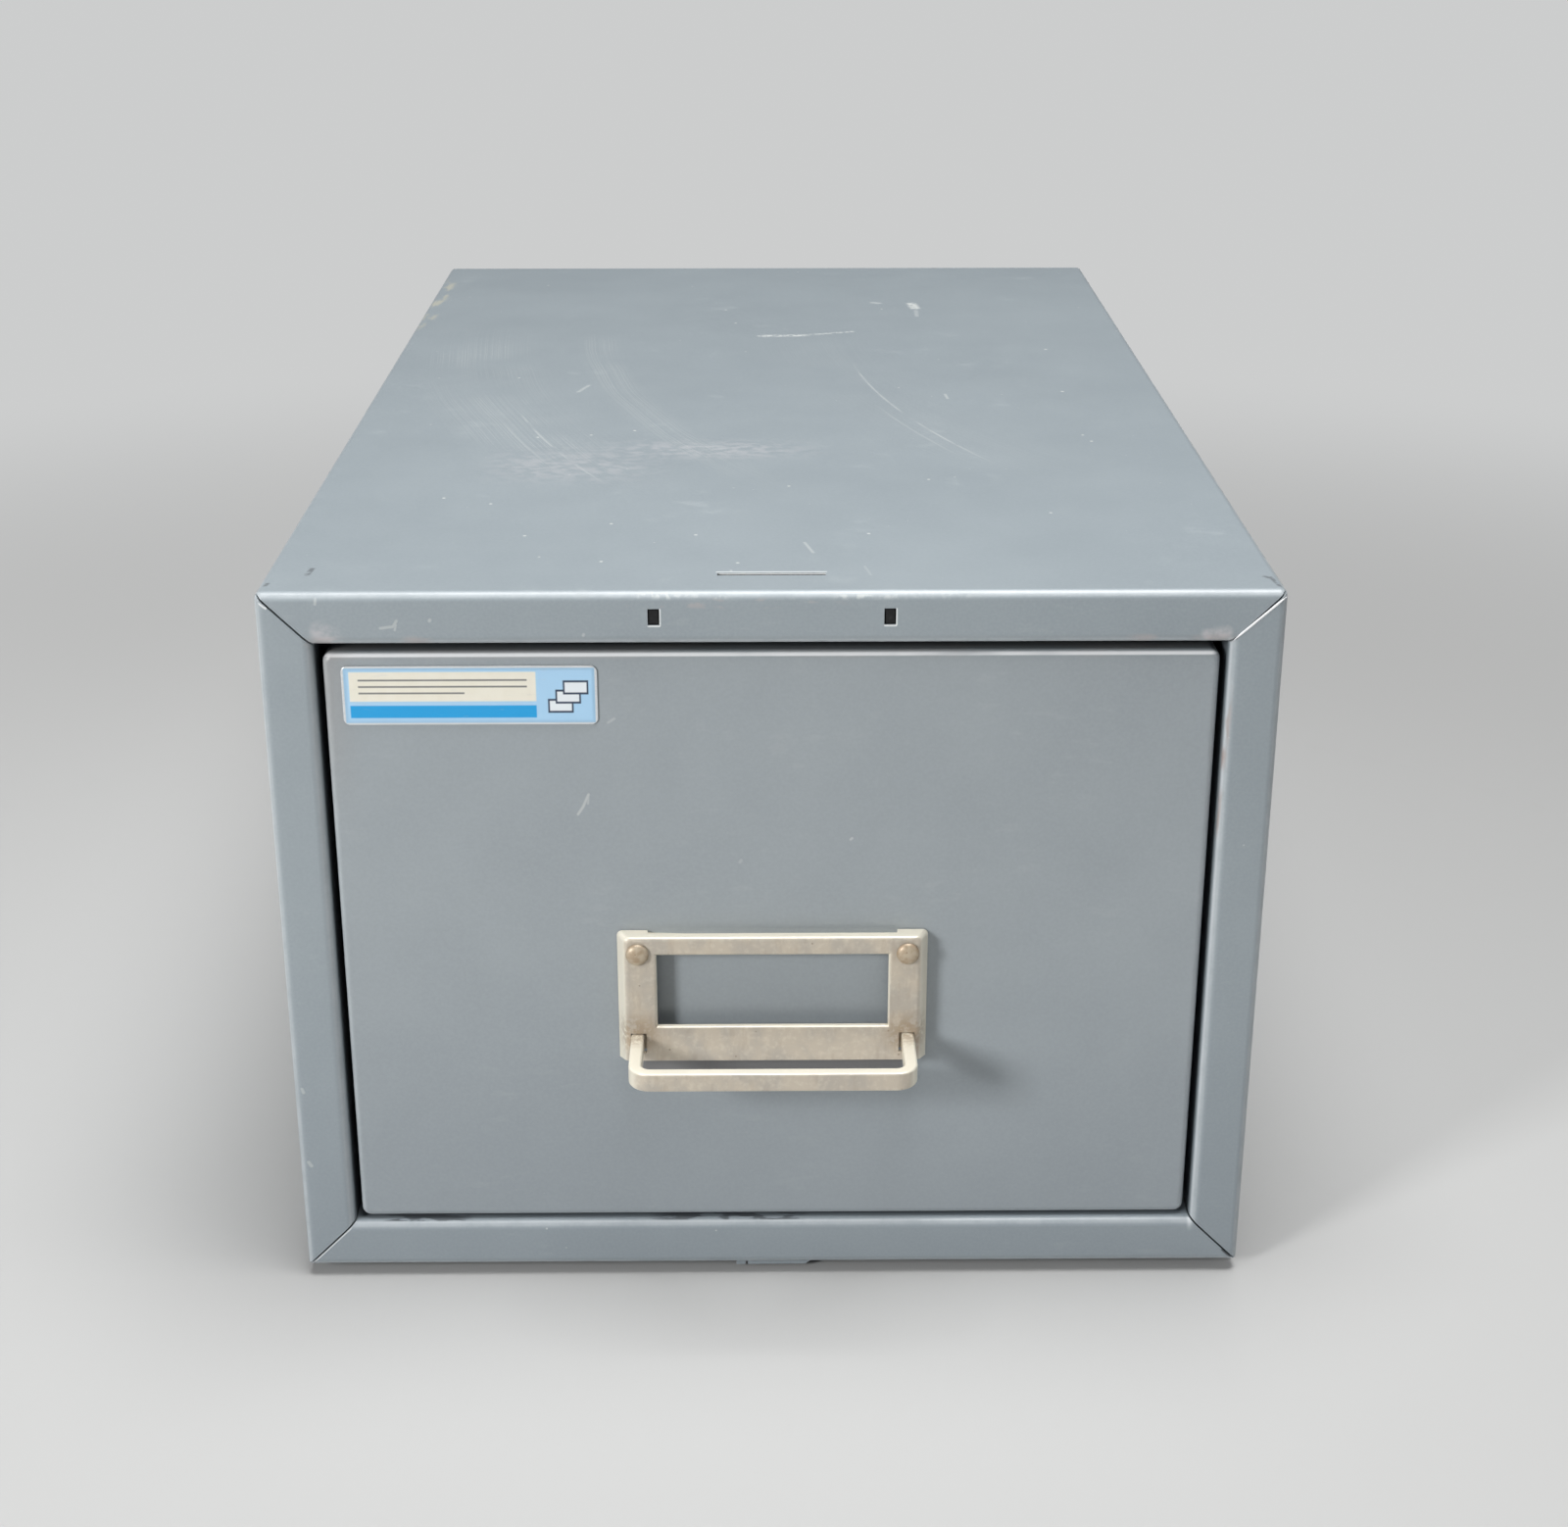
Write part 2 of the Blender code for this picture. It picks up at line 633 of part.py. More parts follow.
def build_feet(parent, material):
    barb = SHEET + CONTACT_GAP
    profile = [
        (0, -FOOT_STAND),
        (FOOT_SOLE_RADIUS, -FOOT_STAND),
        (FOOT_RADIUS, -FOOT_STAND / 2),
        (FOOT_RADIUS, -CONTACT_GAP),
        (FOOT_STEM_RADIUS, -CONTACT_GAP),
        (FOOT_STEM_RADIUS, barb),
        (FOOT_BARB_RADIUS, barb),
        (FOOT_STEM_RADIUS / 2, barb + FOOT_BARB_HEIGHT),
        (0, barb + FOOT_BARB_HEIGHT),
    ]
    for word, across, depth in foot_places():
        make_object(f"foot_{word}", turned(profile, ROUND_SIDES), material, parent, (across, depth, 0))


def build_glides(parent, material):
    top = TRAY_LOW - CONTACT_GAP - FRAME_WIDTH
    barb = -SHEET - CONTACT_GAP
    profile = [
        (0, barb - GLIDE_BARB_HEIGHT),
        (GLIDE_STEM_RADIUS / 2, barb - GLIDE_BARB_HEIGHT),
        (GLIDE_BARB_RADIUS, barb),
        (GLIDE_STEM_RADIUS, barb),
        (GLIDE_STEM_RADIUS, CONTACT_GAP),
    ] + dome(GLIDE_RADIUS, top - CONTACT_GAP, CONTACT_GAP)
    for side, word in ((-1, "left"), (1, "right")):
        place = (side * (TRAY_HALF_WIDTH - GLIDE_INSET), GLIDE_DEPTH, FRAME_WIDTH)
        make_object(f"glide_{word}", turned(profile, ROUND_SIDES), material, parent, place)


def holder_rivet_places():
    for side, word in ((-1, "left"), (1, "right")):
        yield word, side * HOLDER_RIVET_SPACING / 2, HOLDER_LOW + HOLDER_RIVET_RISE


def build_drawer_front(parent, material):
    height = FRONT_HIGH - FRONT_LOW
    width = 2 * FRONT_HALF_WIDTH
    shape = pan(width, height, FRONT_DEPTH, SHEET, FRONT_EDGE_RADIUS, FRONT_CORNER_RADIUS)
    place = (0, FRONT_RECESS, (FRONT_LOW + FRONT_HIGH) / 2)
    front = make_object("drawer_front", shape, material, parent, place)
    cutters = [
        rod(
            f"front_rivet_hole_{word}", RIVET_SHANK_RADIUS + CONTACT_GAP,
            (across, FRONT_RECESS - OVERRUN, height), (across, FRONT_INNER + OVERRUN, height), parent
        )
        for word, across, height in holder_rivet_places()
    ]
    combine(front, cutters, "DIFFERENCE")


def build_tray(parent, material):
    wall = TRAY_HALF_WIDTH - SHEET / 2
    floor = TRAY_LOW + SHEET / 2
    top = TRAY_LOW + TRAY_SIDE_HEIGHT - SHEET / 2
    hem = wall + 2 * HEM_RADIUS
    left = [(-hem, top - HEM_DROP), (-hem, top), (-wall, top), (-wall, floor)]
    path = left + [(-across, height) for across, height in reversed(left)]
    radii = [HEM_RADIUS, HEM_RADIUS, TRAY_BEND, TRAY_BEND, HEM_RADIUS, HEM_RADIUS]
    outline = sheet_outline(path, SHEET, radii)
    tray = make_object("drawer_tray", prism(outline, "Y", TRAY_START, TRAY_END), material, parent)
    cutters = []
    height = RUNNER_LOW + RUNNER_HEIGHT / 2
    depth = SHOE_START + SHOE_LENGTH / 2
    for side, word in ((-1, "left"), (1, "right")):
        inner, outer = side * (TRAY_INNER - OVERRUN), side * (TRAY_HALF_WIDTH + OVERRUN)
        cutters.append(
            rod(
                f"tray_rivet_hole_{word}", SHOE_RIVET_RADIUS + CONTACT_GAP,
                (inner, depth, height), (outer, depth, height), parent
            )
        )
    combine(tray, cutters, "DIFFERENCE")


def build_drawer_back(parent, material):
    half = TRAY_INNER - CONTACT_GAP
    low = TRAY_FLOOR + CONTACT_GAP
    high = TRAY_LOW + TRAY_SIDE_HEIGHT - DRAWER_BACK_LOW
    shape = pan(2 * half, high - low, DRAWER_BACK_FLANGE, SHEET, TRAY_BEND, DRAWER_BACK_CORNER)
    back = make_object("drawer_back", shape, material, parent, (0, TRAY_END, (low + high) / 2))
    back.rotation_euler.z = math.pi


def build_shoes(parent, material, rivet_material):
    inner = TRAY_HALF_WIDTH + CONTACT_GAP
    outer = RUNNER_OUTER - SHEET - SHOE_SIDE_CLEARANCE
    low = RUNNER_LOW + SHEET + SHOE_HEIGHT_CLEARANCE
    high = RUNNER_LOW + RUNNER_HEIGHT - SHEET - SHOE_HEIGHT_CLEARANCE
    middle = (low + high) / 2
    end = SHOE_START + SHOE_LENGTH
    cut = SHOE_CHAMFER
    outline = [
        (SHOE_START + cut, low), (end - cut, low), (end, low + cut), (end, high - cut),
        (end - cut, high), (SHOE_START + cut, high), (SHOE_START, high - cut), (SHOE_START, low + cut),
    ]
    depth = SHOE_START + SHOE_LENGTH / 2
    bite = inner + SHOE_RIVET_BITE
    for side, word in ((-1, "left"), (1, "right")):
        near, far = sorted((side * inner, side * outer))
        shoe = make_object(f"rear_shoe_{word}", prism(outline, "X", near, far), material, parent)
        hole = rod(
            f"shoe_hole_{word}", SHOE_RIVET_RADIUS + CONTACT_GAP,
            (side * (inner - OVERRUN), depth, middle), (side * (bite + CONTACT_GAP), depth, middle), parent
        )
        combine(shoe, [hole], "DIFFERENCE")
        head = TRAY_INNER - CONTACT_GAP
        profile = [(0, -(bite - head)), (SHOE_RIVET_RADIUS, -(bite - head)), (SHOE_RIVET_RADIUS, 0)]
        profile += dome(SHOE_RIVET_HEAD, SHOE_RIVET_HEAD_HEIGHT, 0)
        rivet = make_object(
            f"shoe_rivet_{word}", turned(profile, SMALL_ROUND_SIDES), rivet_material, parent,
            (side * head, depth, middle)
        )
        rivet.rotation_euler.y = -side * math.pi / 2


def build_label_holder(parent, material):
    back = FRONT_RECESS - CONTACT_GAP
    half_face, half_foot = HOLDER_FACE_WIDTH / 2, HOLDER_FOOT_WIDTH / 2
    round_edge = HOLDER_EDGE_RADIUS

    def section(inset, rear):
        """The flared section seen from above, drawn in by an inset, out to a rear depth."""
        slope = (half_foot - half_face) / (back - HOLDER_FRONT)
        reach = half_face - inset + slope * (rear - HOLDER_FRONT)
        front = HOLDER_FRONT + inset
        corner = max(round_edge - inset, round_edge / 2)
        points = []
        for side in (1, -1):
            arc = []
            for step in range(CORNER_STEPS + 1):
                angle = step / CORNER_STEPS * math.pi / 2
                across = half_face - inset - corner + corner * math.cos(angle)
                arc.append((side * across, front + corner - corner * math.sin(angle)))
            points += [(side * reach, rear)] + arc if side > 0 else arc[::-1] + [(side * reach, rear)]
        return points

    holder = make_object(
        "label_holder", prism(section(0, back), "Z", HOLDER_LOW, HOLDER_TOP), material, parent
    )
    inside = prism(
        section(HOLDER_SHEET, back + OVERRUN), "Z", HOLDER_LOW - OVERRUN, HOLDER_TOP - HOLDER_SHEET
    )
    cutters = [make_object("holder_inside_cut", inside, None, parent)]
    gap_half = half_foot - HOLDER_EAR_WIDTH
    cutters.append(
        make_object(
            "holder_lip_cut",
            box(
                (-gap_half, HOLDER_FRONT + HOLDER_LIP, HOLDER_TOP - HOLDER_SHEET - OVERRUN),
                (gap_half, back + OVERRUN, HOLDER_TOP + OVERRUN),
            ),
            None,
            parent,
        )
    )
    window_low = HOLDER_LOW + WINDOW_RISE
    window = box(
        (-WINDOW_WIDTH / 2, HOLDER_FRONT - OVERRUN, window_low),
        (WINDOW_WIDTH / 2, HOLDER_FRONT + HOLDER_SHEET + OVERRUN, window_low + WINDOW_HEIGHT),
    )
    cutters.append(make_object("holder_window_cut", window, None, parent))
    for side, word in ((-1, "left"), (1, "right")):
        middle = side * PULL_SPACING / 2
        half_slot = PULL_THICKNESS / 2 + PULL_SLOT_CLEARANCE
        slot_high = PULL_LOW + PULL_HEIGHT + CONTACT_GAP
        slot = box(
            (middle - half_slot, HOLDER_FRONT - OVERRUN, PULL_LOW - CONTACT_GAP),
            (middle + half_slot, HOLDER_FRONT + HOLDER_SHEET + OVERRUN, slot_high),
        )
        cutters.append(make_object(f"pull_slot_cut_{word}", slot, None, parent))
    front, rear = HOLDER_FRONT - OVERRUN, HOLDER_FRONT + HOLDER_SHEET + OVERRUN
    for word, across, height in holder_rivet_places():
        cutters.append(
            rod(
                f"holder_rivet_hole_{word}", RIVET_SHANK_RADIUS + CONTACT_GAP,
                (across, front, height), (across, rear, height), parent
            )
        )
    combine(holder, cutters, "DIFFERENCE")


def build_pull(parent, material):
    foot = (HOLDER_FRONT + HOLDER_SHEET + FRONT_RECESS) / 2
    front = PULL_FRONT + PULL_THICKNESS / 2
    leg = PULL_SPACING / 2
    left = [(-leg + PULL_FOOT_REACH, foot), (-leg, foot), (-leg, front)]
    path = left + [(-across, depth) for across, depth in reversed(left)]
    radii = [PULL_FOOT_BEND, PULL_CORNER_RADIUS, PULL_CORNER_RADIUS, PULL_FOOT_BEND]
    outline = sheet_outline(path, PULL_THICKNESS, radii, PULL_STEPS)
    pull = make_object("pull", prism(outline, "Z", PULL_LOW, PULL_LOW + PULL_HEIGHT), material, parent)
    edge = pull.modifiers.new("rounded_edges", "BEVEL")
    edge.width = PULL_EDGE_RADIUS
    edge.segments = 2
    edge.limit_method = "ANGLE"
    edge.angle_limit = math.radians(SHARP_EDGE_DEGREES)


def build_holder_rivets(parent, material):
    head = CONTACT_GAP
    tail = -(FRONT_INNER - HOLDER_FRONT + CONTACT_GAP)
    profile = [
        (0, tail - RIVET_TAIL_HEIGHT),
        (RIVET_TAIL_RADIUS, tail - RIVET_TAIL_HEIGHT),
        (RIVET_TAIL_RADIUS, tail),
        (RIVET_SHANK_RADIUS, tail),
        (RIVET_SHANK_RADIUS, head),
    ] + dome(RIVET_HEAD_RADIUS, RIVET_HEAD_HEIGHT, head)
    for word, across, height in holder_rivet_places():
        place = (across, HOLDER_FRONT, height)
        rivet = make_object(f"holder_rivet_{word}", turned(profile, ROUND_SIDES), material, parent, place)
        rivet.rotation_euler.x = math.pi / 2


def build_front_label(parent, material):
    across = -FRONT_HALF_WIDTH + LABEL_INSET_SIDE + LABEL_WIDTH / 2
    height = FRONT_HIGH - LABEL_INSET_TOP - LABEL_HEIGHT / 2
    outline = rounded_rectangle(LABEL_WIDTH, LABEL_HEIGHT, LABEL_RADIUS)
    shape = prism(outline, "Y", -GLUE_GAP - LABEL_THICKNESS, -GLUE_GAP)
    make_object("front_label", shape, material, parent, (across, FRONT_RECESS, height))


def build_rails(parent, material):
    """Two small channels, back to back, whose mouths look out to the tray's sides."""
    web = RAIL_GAP / 2 + SHEET / 2
    low, high = RAIL_LOW + SHEET / 2, RAIL_TOP - SHEET / 2
    for side, word in ((-1, "left"), (1, "right")):
        tip, back = side * RAIL_HALF_WIDTH, side * web
        outline = sheet_outline([(tip, low), (back, low), (back, high), (tip, high)], SHEET, RAIL_BEND)
        make_object(f"follower_rail_{word}", prism(outline, "Y", RAIL_START, RAIL_END), material, parent)


def follower_rivet_places():
    for index, word in enumerate(("front", "rear")):
        yield word, FOLLOWER_FACE + FOLLOWER_RIVET_FIRST + index * FOLLOWER_RIVET_PITCH


def build_carriage(parent, material):
    side_wall = RAIL_HALF_WIDTH + CARRIAGE_CLEARANCE + SHEET / 2
    hook = RAIL_TOP - SHEET - CARRIAGE_CLEARANCE - SHEET / 2
    top = CARRIAGE_UNDER + SHEET / 2
    left = [(-side_wall + CARRIAGE_HOOK, hook), (-side_wall, hook), (-side_wall, top)]
    path = left + [(-across, height) for across, height in reversed(left)]
    outline = sheet_outline(path, SHEET, CARRIAGE_BEND)
    carriage = make_object(
        "follower_carriage", prism(outline, "Y", CARRIAGE_START, CARRIAGE_END), material, parent
    )
    ears = []
    for side, word in ((-1, "left"), (1, "right")):
        near, far = sorted((side * EAR_SPACING / 2, side * (EAR_SPACING / 2 + EAR_SHEET)))
        ear = box((near, PIVOT.y - EAR_LENGTH / 2, top), (far, PIVOT.y + EAR_LENGTH / 2, top + EAR_HEIGHT))
        ears.append(make_object(f"carriage_ear_{word}", ear, None, parent))
    combine(carriage, ears, "UNION")
    reach = EAR_SPACING / 2 + EAR_SHEET + OVERRUN
    hole_radius = PIN_RADIUS + PIN_HOLE_CLEARANCE
    cutters = [rod("ear_pin_hole", hole_radius, (-reach, *PIVOT.yz), (reach, *PIVOT.yz), parent)]
    slot_half = LEVER_WIDTH / 2 + LEVER_SLOT_CLEARANCE
    slot = box(
        (-slot_half, PIVOT.y - LEVER_SLOT_FRONT, CARRIAGE_UNDER - OVERRUN),
        (slot_half, PIVOT.y + LEVER_SLOT_REAR, CARRIAGE_TOP + OVERRUN),
    )
    cutters.append(make_object("lever_slot_cut", slot, None, parent))
    for word, depth in follower_rivet_places():
        cutters.append(
            rod(
                f"carriage_rivet_hole_{word}", RIVET_SHANK_RADIUS + CONTACT_GAP,
                (0, depth, CARRIAGE_UNDER - OVERRUN), (0, depth, CARRIAGE_TOP + OVERRUN), parent
            )
        )
    combine(carriage, cutters, "DIFFERENCE")


def build_follower_plate(parent, material):
    half = TRAY_INNER - FOLLOWER_SIDE_CLEARANCE
    low = TRAY_FLOOR + FOLLOWER_LOW
    shape = pan(
        2 * half, FOLLOWER_HEIGHT, FOLLOWER_FLANGE, SHEET, FOLLOWER_EDGE_RADIUS, FOLLOWER_CORNER_RADIUS
    )
    middle = low + FOLLOWER_HEIGHT / 2
    plate = make_object("follower_plate", shape, material, parent, (0, FOLLOWER_FACE, middle))
    notch_half = RAIL_HALF_WIDTH + CARRIAGE_CLEARANCE + SHEET + FOLLOWER_NOTCH_CLEARANCE
    notch = box(
        (-notch_half, FOLLOWER_FACE - OVERRUN, low - OVERRUN),
        (notch_half, FOLLOWER_FACE + FOLLOWER_FLANGE + OVERRUN, FOOT_PLATE_LOW + SHEET / 2),
    )
    combine(plate, [make_object("follower_notch_cut", notch, None, parent)], "DIFFERENCE")
    foot = box(
        (-FOLLOWER_FOOT_WIDTH / 2, FOLLOWER_FACE + SHEET / 2, FOOT_PLATE_LOW),
        (FOLLOWER_FOOT_WIDTH / 2, FOLLOWER_FACE + FOLLOWER_FOOT_LENGTH, FOOT_PLATE_TOP),
    )
    combine(plate, [make_object("follower_foot", foot, None, parent)], "UNION")
    holes = [
        rod(
            f"foot_rivet_hole_{word}", RIVET_SHANK_RADIUS + CONTACT_GAP,
            (0, depth, FOOT_PLATE_LOW - OVERRUN), (0, depth, FOOT_PLATE_TOP + OVERRUN), parent
        )
        for word, depth in follower_rivet_places()
    ]
    combine(plate, holes, "DIFFERENCE")


def build_follower_rivets(parent, material):
    tail = CARRIAGE_UNDER - CONTACT_GAP - FOOT_PLATE_TOP
    profile = [
        (0, tail - RIVET_TAIL_HEIGHT),
        (RIVET_TAIL_RADIUS, tail - RIVET_TAIL_HEIGHT),
        (RIVET_TAIL_RADIUS, tail),
        (RIVET_SHANK_RADIUS, tail),
        (RIVET_SHANK_RADIUS, CONTACT_GAP),
    ] + dome(RIVET_HEAD_RADIUS, RIVET_HEAD_HEIGHT, CONTACT_GAP)
    for word, depth in follower_rivet_places():
        shape = turned(profile, SMALL_ROUND_SIDES)
        make_object(f"follower_rivet_{word}", shape, material, parent, (0, depth, FOOT_PLATE_TOP))


def build_lever(parent, material):
    """The lever, in coordinates about its pivot."""
    toe_drop = PIVOT.z - TRAY_FLOOR - CONTACT_GAP
    path = (
        (-LEVER_TOE_LEAD, -toe_drop),
        (0, 0),
        (LEVER_ARM_LEAN, LEVER_ARM_HEIGHT),
        (LEVER_ARM_LEAN / 2, LEVER_ARM_HEIGHT + LEVER_PAD_HEIGHT),
    )
    outline = sheet_outline(path, LEVER_THICKNESS, LEVER_BEND)
    half = LEVER_WIDTH / 2
    lever = make_object("brake_lever", prism(outline, "X", -half, half), material, parent)
    boss = rod("lever_boss", LEVER_BOSS_RADIUS, (-half, 0, 0), (half, 0, 0), parent)
    combine(lever, [boss], "UNION")
    reach = half + OVERRUN
    bore = rod("lever_bore", PIN_RADIUS + PIN_HOLE_CLEARANCE, (-reach, 0, 0), (reach, 0, 0), parent)
    combine(lever, [bore], "DIFFERENCE")


def build_lever_pin(parent, material):
    head = EAR_SPACING / 2 + EAR_SHEET + CONTACT_GAP
    end = head + PIN_HEAD_LENGTH
    profile = [
        (0, -end), (PIN_HEAD_RADIUS, -end), (PIN_HEAD_RADIUS, -head), (PIN_RADIUS, -head),
        (PIN_RADIUS, head), (PIN_HEAD_RADIUS, head), (PIN_HEAD_RADIUS, end), (0, end),
    ]
    pin = make_object("lever_pin", turned(profile, SMALL_ROUND_SIDES), material, parent, PIVOT)
    pin.rotation_euler.y = math.pi / 2


def build_lever_spring(parent, material):
    """A torsion spring round the pin: one leg lies forward on the foot, one stands beside the lever."""
    start = LEVER_WIDTH / 2 + CONTACT_GAP + SPRING_WIRE_RADIUS
    count = int(SPRING_TURNS * SPRING_POINTS_PER_TURN)
    points = [(start, SPRING_COIL_RADIUS, SPRING_LEG)]
    for step in range(count + 1):
        angle = 2 * math.pi * step / SPRING_POINTS_PER_TURN
        across = start + SPRING_PITCH * step / SPRING_POINTS_PER_TURN
        points.append((across, SPRING_COIL_RADIUS * math.cos(angle), -SPRING_COIL_RADIUS * math.sin(angle)))
    foot_end = FOLLOWER_FACE + FOLLOWER_FOOT_LENGTH - SPRING_FOOT_OVERLAP - PIVOT.y
    foot_top = FOOT_PLATE_TOP + CONTACT_GAP + SPRING_WIRE_RADIUS - PIVOT.z
    points.append((points[-1][0], foot_end, foot_top))
    curve = bpy.data.curves.new("lever_spring", "CURVE")
    curve.dimensions = "3D"
    curve.bevel_depth = SPRING_WIRE_RADIUS
    curve.bevel_resolution = 1
    curve.use_fill_caps = True
    spline = curve.splines.new("POLY")
    spline.points.add(len(points) - 1)
    for target, point in zip(spline.points, points):
        target.co = (*point, 1)
    curve.materials.append(material)
    spring = bpy.data.objects.new("lever_spring", curve)
    bpy.context.collection.objects.link(spring)
    spring.parent = parent
    spring.location = PIVOT


def clear_scene():
    for old in list(bpy.data.objects):
        bpy.data.objects.remove(old)


def build_everything():
    enamel = make_material("grey_enamel", (0.22, 0.26, 0.29), 0.42, 0.0)
    plated = make_material("nickel_plate", (0.55, 0.50, 0.41), 0.45, 0.9)
    zinc = make_material("zinc_plate", (0.55, 0.56, 0.57), 0.35, 0.9)
    nylon = make_material("white_nylon", (0.75, 0.74, 0.68), 0.5, 0.0)
    rubber = make_material("black_rubber", (0.03, 0.03, 0.03), 0.8, 0.0)
    foil = make_material("foil_label", (0.62, 0.74, 0.84), 0.35, 0.2)
    case = make_datum("case_datum", None, (0, OBJECT_FRONT_Y, FOOT_STAND))
    drawer = make_datum("drawer_datum", case, (0, 0, 0))
    follower = make_datum("follower_datum", drawer, (0, 0, 0))
    lever = make_datum("lever_datum", follower, PIVOT)
    build_case_wrapper(case, enamel)
    build_case_bottom(case, enamel)
    build_case_back(case, enamel)
    build_stacking_clip(case, zinc)
    build_runners(case, zinc)
    build_feet(case, rubber)
    build_glides(case, nylon)
    build_drawer_front(drawer, enamel)
    build_tray(drawer, enamel)
    build_drawer_back(drawer, enamel)
    build_shoes(drawer, nylon, zinc)
    build_label_holder(drawer, plated)
    build_pull(drawer, plated)
    build_holder_rivets(drawer, plated)
    build_front_label(drawer, foil)
    build_rails(drawer, zinc)
    build_carriage(follower, zinc)
    build_follower_plate(follower, enamel)
    build_follower_rivets(follower, zinc)
    build_lever_pin(follower, zinc)
    build_lever_spring(follower, zinc)
    build_lever(lever, zinc)


clear_scene()
build_everything()
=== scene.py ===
import math

import bmesh
import bpy
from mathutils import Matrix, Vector
from mathutils.geometry import tessellate_polygon


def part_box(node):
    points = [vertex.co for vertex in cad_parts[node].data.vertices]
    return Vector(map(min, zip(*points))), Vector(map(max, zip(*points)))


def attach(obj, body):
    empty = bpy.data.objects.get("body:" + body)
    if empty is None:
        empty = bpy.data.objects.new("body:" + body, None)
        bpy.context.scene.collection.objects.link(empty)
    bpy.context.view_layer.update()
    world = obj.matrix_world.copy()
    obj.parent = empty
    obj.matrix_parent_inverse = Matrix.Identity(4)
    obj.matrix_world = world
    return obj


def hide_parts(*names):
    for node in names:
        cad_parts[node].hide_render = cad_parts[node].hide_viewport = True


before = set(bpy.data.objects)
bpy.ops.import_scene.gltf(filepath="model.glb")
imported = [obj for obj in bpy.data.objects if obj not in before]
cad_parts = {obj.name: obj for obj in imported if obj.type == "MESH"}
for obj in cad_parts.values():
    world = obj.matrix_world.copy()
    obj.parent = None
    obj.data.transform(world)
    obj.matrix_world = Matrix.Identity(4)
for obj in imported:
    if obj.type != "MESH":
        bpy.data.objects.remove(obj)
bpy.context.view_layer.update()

# Case wrapper: one folded steel sheet for the top, the two sides and the front frame, mitred at the corners.
# It is sprayed with satin blue-grey enamel and baked. Forty years of use have scratched and dusted the top,
# rubbed the front bend pale in patches, which also serve as a painted highlight, and worn the paint at the
# lower edge of the frame.


class Wire:
    """A socket of a finish in the making. Sums on wires add the Math nodes that do them."""

    def __init__(self, finish, socket):
        self.finish, self.socket = finish, socket

    def sum(self, operation, first, second):
        return self.finish.node("Math", {"operation": operation}, {0: first, 1: second})

    def __add__(self, other):
        return self.sum("ADD", self, other)

    def __radd__(self, other):
        return self.sum("ADD", other, self)

    def __sub__(self, other):
        return self.sum("SUBTRACT", self, other)

    def __rsub__(self, other):
        return self.sum("SUBTRACT", other, self)

    def __mul__(self, other):
        return self.sum("MULTIPLY", self, other)

    def __rmul__(self, other):
        return self.sum("MULTIPLY", other, self)

    def __truediv__(self, other):
        return self.sum("DIVIDE", self, other)

    def __gt__(self, other):
        return self.sum("GREATER_THAN", self, other)

    def __lt__(self, other):
        return self.sum("LESS_THAN", self, other)

    def __or__(self, other):
        return self.sum("MAXIMUM", self, other)


def tone(red, green, blue):
    """A colour from 0 to 255 a channel as Blender's linear one."""
    return (*((channel / 255) ** 2.2 for channel in (red, green, blue)), 1)


